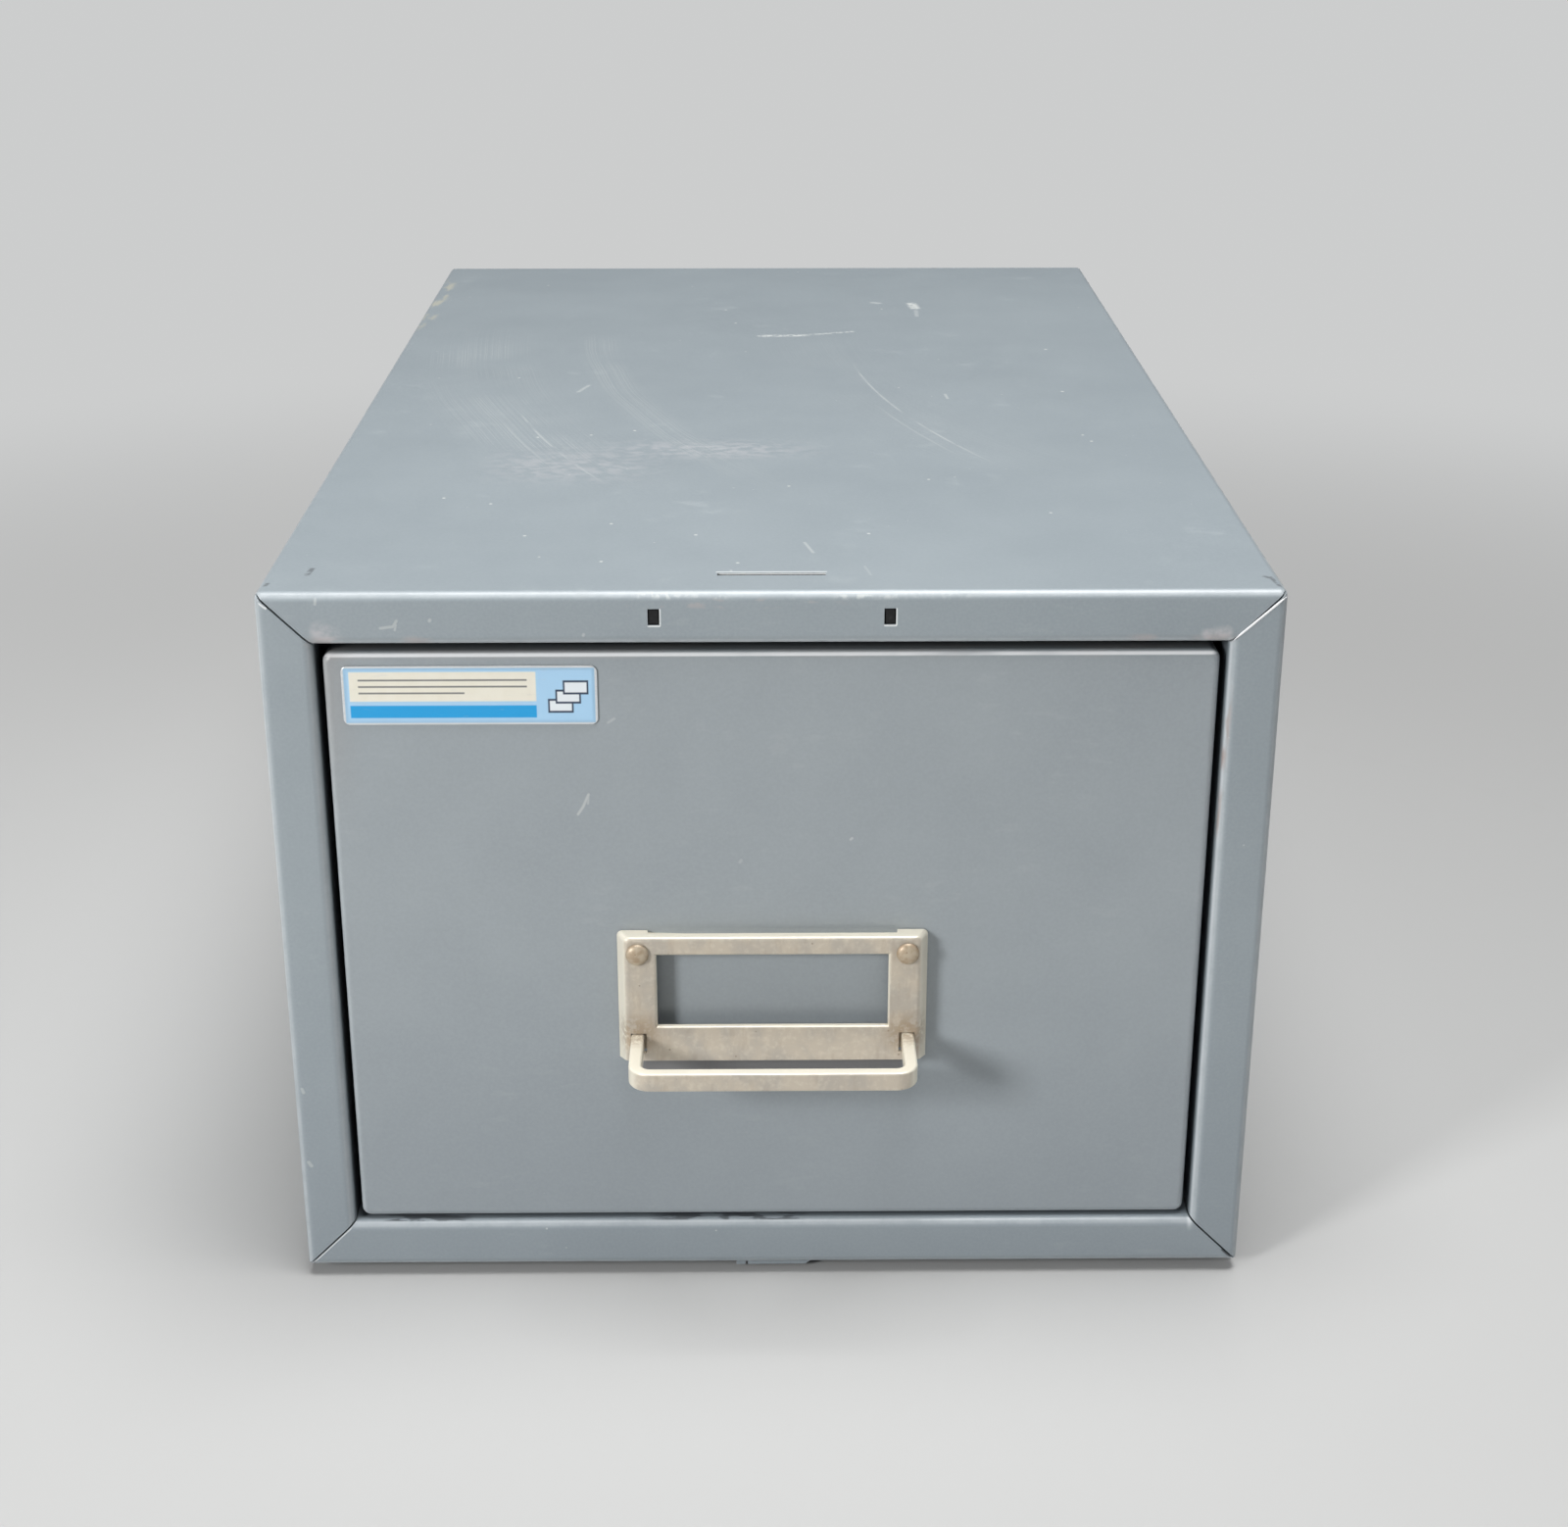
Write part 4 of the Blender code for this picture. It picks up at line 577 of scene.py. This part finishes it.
def rubber():
    coat = Finish("black_rubber")
    bloom = coat.ease(coat.noise(0.004, 4), 0.35, 0.75)
    colour = coat.mix(bloom, tone(30, 30, 31), tone(58, 57, 56))
    colour = coat.mix(coat.dots(0.0022, 0.00022, 0.4) * 0.5, colour, tone(150, 146, 140))
    return coat.close(colour, bloom * 0.15 + 0.68, coat.noise(0.0006, 3), 0.00004)


sole_rubber = rubber()
for corner in ("front_left", "front_right", "rear_left", "rear_right"):
    dress(f"foot_{corner}", sole_rubber, 0.00025)

# Glides and rear shoes: natural nylon, moulded. The two front buttons snap into the shelf and carry the
# tray's floor, and the two shoes are riveted to the tray's sides and run in the channels.


def nylon():
    coat = Finish("white_nylon", Subsurface_Weight=0.08)
    stain = coat.ease(coat.noise(0.005, 4), 0.45, 0.75)
    colour = coat.mix(stain, tone(226, 222, 207), tone(196, 186, 160))
    rubbed = coat.noise(0.0005, 2, (1, 24, 1))
    colour = coat.mix(coat.ease(rubbed, 0.55, 0.75) * 0.3, colour, tone(150, 146, 136))
    return coat.close(colour, rubbed * 0.2 + 0.34, rubbed, 0.00003)


runner_nylon = nylon()
for word in ("left", "right"):
    dress(f"glide_{word}", runner_nylon)
    dress(f"rear_shoe_{word}", runner_nylon, 0.00025)
    dress(f"shoe_rivet_{word}", strip_zinc)

# Drawer front: an inset pan of the same sheet with soft edges, spot-welded to the front of the tray.
# It has the same enamel, a shade deeper. Its upper edge is rubbed and carries a painted highlight, and it has
# a hair scratch and pale blips.

FRONT_LOW, FRONT_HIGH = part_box("drawer_front")
PANEL, PANEL_TOP = FRONT_LOW.y, FRONT_HIGH.z
# Marks on the drawer front: start and end (across, up), width, strength
PANEL_MARKS = (
    ((-0.0475, 0.1310), (-0.0462, 0.1330), 0.0005, 1.0),
    ((-0.0462, 0.1330), (-0.0448, 0.1362), 0.0005, 1.0),
    ((-0.0448, 0.1362), (-0.0450, 0.1338), 0.0004, 0.7),
    ((-0.0395, 0.1550), (-0.0380, 0.1560), 0.0005, 0.6),
    ((-0.0080, 0.1180), (-0.0077, 0.1185), 0.0006, 0.5),
    ((0.0193, 0.1240), (0.0196, 0.1243), 0.0005, 1.0),
)


def on_panel(across, up):
    return across, PANEL, up


def front_marks(coat, colour, roughness, height):
    """A hair scratch, pale blips, a rubbed top edge, a warm upper left corner, painted highlight and shade at
    the top, painted shade under the holder.
    """
    lines = laid(coat, on_panel, PANEL_MARKS)
    colour = coat.mix(lines * 0.35, colour, SCUFF_AND_HIGHLIGHT_WHITE)
    behind, below = coat.y - PANEL, PANEL_TOP - coat.z
    edge = coat.ease(below, 0.0022, 0.0006) * coat.ease(coat.noise(0.006, 3, (4, 1, 1)), 0.40, 0.62)
    colour = coat.mix(edge * 0.35, colour, ENAMEL_WORN)
    # Painted shade under the holder's lower band, a little brown
    shade_under_holder = coat.within(coat.x, -0.0335, 0.0335, 0.0012) * coat.within(coat.z, 0.0595, 0.0655, 0.0012)
    colour = coat.mix(shade_under_holder * 0.62, colour, tone(84, 74, 68))
    # Painted shade on the top ledge, under the frame's flange
    ledge_shade = coat.ease(below, 0.0012, 0.0003) * coat.ease(behind, 0.00135, 0.00275)
    colour = coat.mix(ledge_shade * 0.6, colour, tone(44, 47, 50))
    # A painted highlight along the bend of its top edge
    bend = coat.within(below, 0.0003, 0.0010, 0.0002) * coat.ease(behind, 0.00155, 0.00075)
    bend = bend * coat.ease(coat.noise(0.012, 3, (3, 1, 1)), 0.12, 0.40)
    bend = bend * coat.within(coat.x, -0.107, 0.107, 0.002)
    colour = coat.mix(bend * 0.9, colour, tone(252, 253, 254))
    corner = coat.ease(coat.x, -0.098, -0.108) * coat.ease(coat.z, 0.120, 0.170)
    colour = coat.mix(corner * 0.30, colour, tone(150, 138, 130))
    return colour, roughness, height - lines * 0.4


dress("drawer_front", enamel("front_enamel", front_marks, tone(150, 157, 161)), 0.00015)

# Tray and drawer back: floor and hemmed sides in one sheet, closed at the rear by a spot-welded pan.
# Enamelled like the front, and rubbed along the floor where cards slide.

TRAY_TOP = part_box("drawer_tray")[1].z


def tray_marks(coat, colour, roughness, height):
    """Rub lines along the drawer, on the floor and on the hems."""
    rubs = coat.ease(coat.noise(0.0016, 3, (1, 60, 1)), 0.52, 0.70)
    rubs = rubs * coat.ease(coat.noise(0.05, 2), 0.4, 0.62)
    colour = coat.mix(rubs * 0.22, colour, ENAMEL_PALE)
    hem = coat.ease(coat.z, TRAY_TOP - 0.0008, TRAY_TOP)
    hem = hem * coat.ease(coat.noise(0.008, 3, (1, 4, 1)), 0.44, 0.6)
    colour = coat.mix(hem * 0.4, colour, ENAMEL_WORN)
    return colour, roughness - rubs * 0.08, height - rubs * 0.2


tray_enamel = enamel("tray_enamel", tray_marks, tone(140, 148, 155))
dress("drawer_tray", tray_enamel, 0.00015)
dress("drawer_back", tray_enamel, 0.00015)

# Label holder: a pressed steel frame with a window for a paper label, plated in warm nickel, now dull.
# Its sides flare back to the drawer, a short lip runs along its top between two ears, and two rivets fix it.

NICKEL = tone(200, 189, 172)
NICKEL_GREY = tone(184, 176, 164)
NICKEL_PALE = tone(244, 238, 220)
NICKEL_STAIN = tone(150, 126, 98)

HOLDER_LOW, HOLDER_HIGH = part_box("label_holder")
PULL_LOW, PULL_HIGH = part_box("pull")


def nickel(name, roots=()):
    """Worn warm nickel: cloudy tarnish on the face, edges paled as polish and as a painted highlight, brown
    specks, stains round the roots.
    """
    coat = Finish(name, Metallic=0.22)
    cloud = coat.noise(0.0062, 4, (1, 1, 1.3))
    colour = coat.mix(coat.ease(cloud, 0.34, 0.66), NICKEL_GREY, NICKEL)
    mottle = coat.noise(0.0013, 3)
    colour = coat.mix(coat.ease(mottle, 0.45, 0.75) * 0.18, colour, NICKEL_PALE)
    streak = coat.ease(coat.noise(0.0017, 3, (1, 1, 4)), 0.52, 0.74)
    colour = coat.mix(streak * 0.16, colour, NICKEL_STAIN)
    specks = coat.dots(0.0024, 0.00024, 0.30)
    colour = coat.mix(specks * 0.45, colour, tone(104, 82, 60))
    # Painted highlight, partly polish: faces that don't face the front are paled, as where the light catches
    # them
    polish_and_highlight = coat.ease(coat.facing()[1], 0.93, 0.55)
    colour = coat.mix(polish_and_highlight * 0.80, colour, NICKEL_PALE)
    for root in roots:
        apart = coat.vector("DISTANCE", coat.place, root, "Value")
        stain = coat.ease(apart, 0.0085, 0.0020) * coat.ease(mottle, 0.30, 0.58)
        colour = coat.mix(stain * 0.60, colour, NICKEL_STAIN)
    roughness = cloud * 0.16 + streak * 0.10 - polish_and_highlight * 0.06 + 0.36
    return coat.close(colour, roughness, mottle * 0.5 + cloud * 0.6 - specks * 0.4, 0.00004)


def new_piece(name, mesh, material, body, replaced):
    """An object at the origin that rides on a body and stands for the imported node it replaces."""
    mesh.materials.append(material)
    mesh.polygons.foreach_set("use_smooth", [True] * len(mesh.polygons))
    piece = bpy.data.objects.new(name, mesh)
    bpy.context.collection.objects.link(piece)
    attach(piece, body)
    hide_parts(replaced)
    return piece


def holder_shell():
    """The outer skin of the holder: rings round the left side, the top and the right side, going back."""
    round_edge, corner, ear, lip = 0.0010, 0.0014, 0.0077, 0.0027
    face, foot = 0.0737 / 2, HOLDER_HIGH.x
    depth = HOLDER_HIGH.y - HOLDER_LOW.y
    flare = (foot - face) / depth
    step = 0.00012

    def outline(inset, back, full):
        """(x, z, back) from the left foot over the top to the right; the lip stops short between the ears."""
        half, high = face - inset + flare * back, HOLDER_HIGH.z - inset
        left = [(-half, HOLDER_LOW.z - 0.0012 * back / depth, back)]
        for turn in range(7):
            angle = math.pi - turn * math.pi / 12
            across = -half + corner + corner * math.cos(angle)
            left.append((across, high - corner + corner * math.sin(angle), back))
        short = min(back, lip) if full else back
        left += [(-foot + ear, high, back), (-foot + ear + step, high, short)]
        return left + [(-x, z, y) for x, z, y in reversed(left)]

    rings = []
    for turn in range(6):
        angle = turn * math.pi / 10
        rings.append(outline(round_edge * (1 - math.sin(angle)), round_edge * (1 - math.cos(angle)), False))
    for share in (0.35, 0.7, 1.0):
        rings.append(outline(0, round_edge + (depth - round_edge) * share, True))
    shape = bmesh.new()
    loops = []
    for ring in rings:
        loops.append([shape.verts.new((x, HOLDER_LOW.y + back, z)) for x, z, back in ring])
    for near, far in zip(loops, loops[1:]):
        for index in range(len(near) - 1):
            shape.faces.new((near[index], near[index + 1], far[index + 1], far[index]))
    window_low, window_height, window_half = HOLDER_LOW.z + 0.0096, 0.0197, 0.0289
    pressed_in = ((0.0009, 0.0), (0.0004, 0.00018), (0.0001, 0.00065), (0.0, 0.0014))
    rims = []
    for grown, sunk in pressed_in:
        left, right = -window_half - grown, window_half + grown
        low, high = window_low - grown, window_low + window_height + grown
        corners = [(left, low), (right, low), (right, high), (left, high)]
        rims.append([shape.verts.new((x, HOLDER_LOW.y + sunk, z)) for x, z in corners])
    join_rings(shape, rims)
    openings = []
    for left, right in ((-0.0357, -0.0317), (0.0317, 0.0357)):
        openings.append((left, right, PULL_LOW.z - 0.0003, PULL_HIGH.z + 0.0003))
    outlines = [loops[0], rims[0]]
    for left, right, low, high in openings:
        corners = [(left, low), (right, low), (right, high), (left, high)]
        outlines.append([shape.verts.new((x, HOLDER_LOW.y, z)) for x, z in corners])
    points = [vertex for ring in outlines for vertex in ring]
    for triangle in tessellate_polygon([[vertex.co for vertex in ring] for ring in outlines]):
        shape.faces.new([points[index] for index in triangle])
    return shape_mesh("label_holder_shell", shape)


roots = [(side * 0.0340, HOLDER_LOW.y, PULL_HIGH.z) for side in (-1, 1)]
holder_nickel = nickel("holder_nickel", roots)
holder = new_piece("pressed_holder", holder_shell(), holder_nickel, "drawer", "label_holder")
sheet = holder.modifiers.new("sheet", "SOLIDIFY")
sheet.thickness = 0.0010
sheet.offset = -1
sheet.use_even_offset = True
even_out(holder, 0.00016)

# Pull: a flat bar bent to a U and passed through the holder's two slots, with its ends turned in behind.
# Plated with the holder; its upper side is polished by fingers and paled further as a painted highlight.


def bent_path(corners, radii, steps):
    """Points along a bent bar in plan, each with its sideways direction."""
    points = []
    for index, corner in enumerate(corners):
        arriving = (corner - corners[index - 1]).normalized() if index else None
        leaving = (corners[index + 1] - corner).normalized() if index < len(corners) - 1 else None
        if arriving is None or leaving is None:
            along = leaving or arriving
            points.append((corner, Vector((-along.y, along.x))))
            continue
        turn = math.atan2(arriving.cross(leaving), arriving.dot(leaving))
        side = Vector((-arriving.y, arriving.x))
        radius = math.copysign(radii[index - 1], turn)
        centre = corner - arriving * abs(radius) * math.tan(abs(turn) / 2) + side * radius
        for step in range(steps + 1):
            angle = turn * step / steps
            along, aside = math.cos(angle), math.sin(angle)
            turned = Vector((side.x * along - side.y * aside, side.x * aside + side.y * along))
            points.append((centre - turned * radius, turned))
    return points


def round_corners(half_width, half_height, radius, steps, inset=0.0):
    """Points (across, up) round a rectangle with round corners, drawn in by the inset."""
    points = []
    for side, up, start in ((1, 1, 0), (-1, 1, 1), (-1, -1, 2), (1, -1, 3)):
        for step in range(steps + 1):
            angle = (start + step / steps) * math.pi / 2
            across = side * (half_width - radius) + (radius - inset) * math.cos(angle)
            points.append((across, up * (half_height - radius) + (radius - inset) * math.sin(angle)))
    return points


def pull_bar():
    thickness, edge = 0.0032, 0.0006
    height, middle = PULL_HIGH.z - PULL_LOW.z, (PULL_HIGH.z + PULL_LOW.z) / 2
    leg, tail = PULL_HIGH.x - thickness / 2, PULL_HIGH.x - thickness / 2 - 0.0040
    front = PULL_LOW.y + thickness / 2
    corners = [(-tail, FACE), (-leg, FACE), (-leg, front), (leg, front), (leg, FACE), (tail, FACE)]
    path = bent_path([Vector(corner) for corner in corners], (0.0019, 0.0039, 0.0039, 0.0019), 12)
    section = round_corners(thickness / 2, height / 2, edge, 4)
    shape = bmesh.new()
    loops = []
    for point, side in path:
        loops.append([shape.verts.new((*(point + side * across), middle + up)) for across, up in section])
    join_rings(shape, loops)
    return shape_mesh("pull_bar", shape, loops)


pull_nickel = nickel("pull_nickel", [(x, y, z - 0.001) for x, y, z in roots])
pull = new_piece("bail_pull", pull_bar(), pull_nickel, "drawer", "pull")
even_out(pull)

# Holder rivets: two plated rivets with low domed heads that clamp the holder to the drawer front.
# Their crowns are rubbed brown, and their tails are set flat inside the pan.


def rivet_mesh(name, low, high):
    """A domed head in front, a shank through the sheets and a flat tail behind, round the box's own axis."""
    head, head_height, shank, tail, tail_height = 0.0029, 0.0014, 0.0014, 0.0024, 0.0009
    middle = (low + high) / 2
    front = low.y + head_height
    profile = [(0.0, low.y)]
    for step in range(1, 9):
        angle = step / 8 * math.pi / 2
        profile.append((head * math.sin(angle), front - head_height * math.cos(angle)))
    inner = high.y - tail_height
    profile += [(shank, front), (shank, inner), (tail, inner), (tail, high.y), (0.0, high.y)]
    sides = 40
    shape = bmesh.new()
    rings = []
    for radius, depth in profile:
        ring = []
        for turn in range(sides if radius else 1):
            angle = 2 * math.pi * turn / sides
            across, up = radius * math.cos(angle), radius * math.sin(angle)
            ring.append(shape.verts.new((middle.x + across, depth, middle.z + up)))
        rings.append(ring)
    for near, far in zip(rings, rings[1:]):
        for turn in range(sides):
            after = (turn + 1) % sides
            corners = [near[turn % len(near)], near[after % len(near)]]
            corners += [far[after % len(far)], far[turn % len(far)]]
            shape.faces.new(list(dict.fromkeys(corners)))
    return shape_mesh(name, shape)


def rivet_nickel():
    coat = Finish("rivet_nickel", Metallic=0.3)
    cloud = coat.noise(0.0022, 4)
    colour = coat.mix(coat.ease(cloud, 0.35, 0.65), tone(168, 148, 124), tone(190, 176, 154))
    specks = coat.dots(0.0011, 0.0002, 0.4)
    colour = coat.mix(specks * 0.5, colour, tone(112, 84, 60))
    return coat.close(colour, cloud * 0.2 + 0.34, cloud - specks * 0.4, 0.00006)


crown_nickel = rivet_nickel()
for word in ("left", "right"):
    mesh = rivet_mesh(f"rivet_{word}", *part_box(f"holder_rivet_{word}"))
    rivet = new_piece(
        f"domed_rivet_{word}", mesh, crown_nickel, "drawer", f"holder_rivet_{word}"
    )
    even_out(rivet, 0.00012)

# Front label: a small aluminium foil plate with round corners, printed and lacquered, glued upper left.
# The print is a plain one: a cream field with ruled lines, a blue bar and a pale panel with a card sign.

LABEL_LOW, LABEL_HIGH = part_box("front_label")


def label_print():
    coat = Finish("foil_label", Coat_Weight=0.5, Coat_Roughness=0.18)
    width, height = LABEL_HIGH.x - LABEL_LOW.x, LABEL_HIGH.z - LABEL_LOW.z
    across, up = (coat.x - LABEL_LOW.x) / width, (coat.z - LABEL_LOW.z) / height

    def panel(left, right, low, high):
        return coat.within(across, left, right, 0.0022) * coat.within(up, low, high, 0.009)

    brushed = coat.noise(0.0004, 2, (14, 1, 1))
    silver = coat.mix(brushed, tone(214, 218, 222), tone(240, 242, 243))
    colour = coat.mix(panel(0.010, 0.990, 0.035, 0.965), silver, tone(170, 210, 240))
    cream = panel(0.030, 0.760, 0.400, 0.900)
    colour = coat.mix(cream, colour, coat.mix(coat.noise(0.003, 3), tone(232, 226, 208), tone(240, 236, 222)))
    rules = panel(0.065, 0.725, 0.745, 0.775) | panel(0.065, 0.725, 0.635, 0.665)
    rules = rules | panel(0.065, 0.48, 0.525, 0.555)
    colour = coat.mix(rules * 0.8, colour, tone(70, 76, 84))
    bar = panel(0.030, 0.760, 0.120, 0.330)
    colour = coat.mix(bar, colour, tone(20, 158, 222))
    for index in range(3):
        step = index * 0.030
        card = panel(0.805 + step, 0.905 + step, 0.20 + step * 5.2, 0.44 + step * 5.2)
        rim = panel(0.812 + step, 0.898 + step, 0.235 + step * 5.2, 0.405 + step * 5.2)
        colour = coat.mix(card, colour, tone(44, 60, 84))
        colour = coat.mix(rim, colour, tone(232, 238, 242))
    scuffs = coat.ease(coat.noise(0.0012, 3, (5, 1, 1)), 0.62, 0.76)
    colour = coat.mix(scuffs * 0.18, colour, tone(190, 196, 200))
    margin = 1 - panel(0.020, 0.980, 0.07, 0.93)
    metallic = margin * 0.6 + (1 - margin) * 0.08
    return coat.close(colour, scuffs * 0.2 + 0.30, brushed * 0.3, 0.00002, metallic)


def label_plate():
    """The plate with round corners, made of rings from its back edge round to its face."""
    radius, rim = 0.0016, 0.00012
    centre = (LABEL_LOW + LABEL_HIGH) / 2
    half_width, half_height = (LABEL_HIGH.x - LABEL_LOW.x) / 2, (LABEL_HIGH.z - LABEL_LOW.z) / 2
    shape = bmesh.new()
    loops = []
    edge = LABEL_LOW.y + rim
    for inset, depth in ((0, LABEL_HIGH.y), (0, edge), (rim * 0.3, edge - rim * 0.7), (rim, LABEL_LOW.y)):
        ring = []
        for across, up in round_corners(half_width, half_height, radius, 8, inset):
            ring.append(shape.verts.new((centre.x + across, depth, centre.z + up)))
        loops.append(ring)
    join_rings(shape, loops)
    return shape_mesh("label_plate", shape, loops)


label = new_piece("foil_plate", label_plate(), label_print(), "drawer", "front_label")
even_out(label)

# Follower: an enamelled plate on a zinc carriage that hooks over two channel rails on the tray's floor.
# A brake lever on a pin, with a torsion spring, holds it where it is pushed up behind the cards.

for word in ("left", "right"):
    dress(f"follower_rail_{word}", strip_zinc, 0.00010)
dress("follower_carriage", strip_zinc, 0.00010)
dress("follower_plate", enamel("follower_enamel", None, tone(140, 148, 155)), 0.00015)
for word in ("front", "rear"):
    dress(f"follower_rivet_{word}", strip_zinc)
lever_zinc = zinc("lever_zinc", (1, 1, 16))
dress("brake_lever", lever_zinc, 0.00020)
dress("lever_pin", lever_zinc, 0.00010)
dress("lever_spring", zinc("spring_steel", (1, 1, 1)))

# Studio: a plain pale floor and a bowl far round it, a broad soft light overhead, a window at the left front
# that throws the pull's shadow, a weak fill from the right, and the camera where the photographer stood.


def studio_floor():
    coat = Finish("studio_paper")
    tint = coat.mix(coat.noise(0.5, 2), tone(180, 180, 179), tone(184, 184, 183))
    paper = coat.close(tint, coat.noise(0.2, 2) * 0.1 + 0.8)
    shape = bmesh.new()
    bmesh.ops.create_grid(shape, x_segments=2, y_segments=2, size=9.0)
    mesh = shape_mesh("studio_floor", shape)
    mesh.materials.append(paper)
    floor = bpy.data.objects.new("studio_floor", mesh)
    bpy.context.collection.objects.link(floor)


def studio_bowl():
    """A pale bowl far round the floor, which fades in with the distance. It is seen but sheds no light."""
    middle, sides = -0.15, 90
    coat = Finish("studio_bowl")
    across = coat.node("CombineXYZ", {}, {0: coat.x, 1: coat.y})
    apart = coat.vector("DISTANCE", across, (0.0, middle, 0.0), "Value")
    pale = coat.mix(coat.ease(coat.z, 0.0, 2.5), tone(203, 204, 204), tone(222, 224, 225))
    glow = coat.node("Emission", {}, {"Color": pale})
    clear = coat.node("BsdfTransparent", {}, {})
    blend = coat.node("MixShader", {}, {0: coat.ease(apart, 0.42, 1.05), 1: clear, 2: glow})
    coat.material.node_tree.links.new(blend.socket, coat.nodes["Material Output"].inputs["Surface"])
    shape = bmesh.new()
    flat = ((0.40, 0.001), (1.2, 0.001), (3.0, 0.002))
    rising = ((3.8, 0.15), (4.4, 0.65), (4.7, 1.6), (4.6, 2.9), (4.0, 4.0))
    rings = []
    for radius, height in flat + rising:
        ring = []
        for turn in range(sides):
            angle = 2 * math.pi * turn / sides
            across, back = radius * math.cos(angle), middle + radius * math.sin(angle)
            ring.append(shape.verts.new((across, back, height)))
        rings.append(ring)
    join_rings(shape, rings)
    mesh = shape_mesh("studio_bowl", shape)
    mesh.polygons.foreach_set("use_smooth", [True] * len(mesh.polygons))
    mesh.materials.append(coat.material)
    bowl = bpy.data.objects.new("studio_bowl", mesh)
    bowl.visible_diffuse = bowl.visible_glossy = bowl.visible_shadow = False
    bpy.context.collection.objects.link(bowl)


def soft_light(name, place, size, watts):
    """A white lamp with a broad face, turned to the middle of the case."""
    aim = (0.0, -0.05, 0.12)
    lamp = bpy.data.lights.new(name, "AREA")
    lamp.shape = "RECTANGLE"
    lamp.size, lamp.size_y = size
    lamp.energy = watts
    light = bpy.data.objects.new(name, lamp)
    light.location = place
    light.rotation_euler = (Vector(aim) - Vector(place)).to_track_quat("-Z", "Y").to_euler()
    bpy.context.collection.objects.link(light)


studio_floor()
studio_bowl()
soft_light("overhead_softbox", (0.12, -0.20, 1.50), (0.85, 0.85), 25.5)
soft_light("left_window", (-1.17, -1.215, 0.66), (0.34, 0.42), 20.0)
soft_light("right_fill", (1.20, -0.90, 0.90), (0.9, 0.9), 2.4)

world = bpy.data.worlds.new("studio_air")
world.use_nodes = True
world.node_tree.nodes["Background"].inputs["Color"].default_value = (0.90, 0.95, 1.0, 1)
world.node_tree.nodes["Background"].inputs["Strength"].default_value = 0.08
bpy.context.scene.world = world
bpy.context.scene.view_settings.view_transform = "Standard"

lens = bpy.data.cameras.new("photo_camera")
lens.sensor_width = 36.0
lens.lens = 56.93
camera = bpy.data.objects.new("photo_camera", lens)
camera.location = (-0.0027, -0.74805, 0.3687)
camera.rotation_euler = (math.radians(68.108), 0.0, math.radians(-0.572))
bpy.context.collection.objects.link(camera)
bpy.context.scene.camera = camera
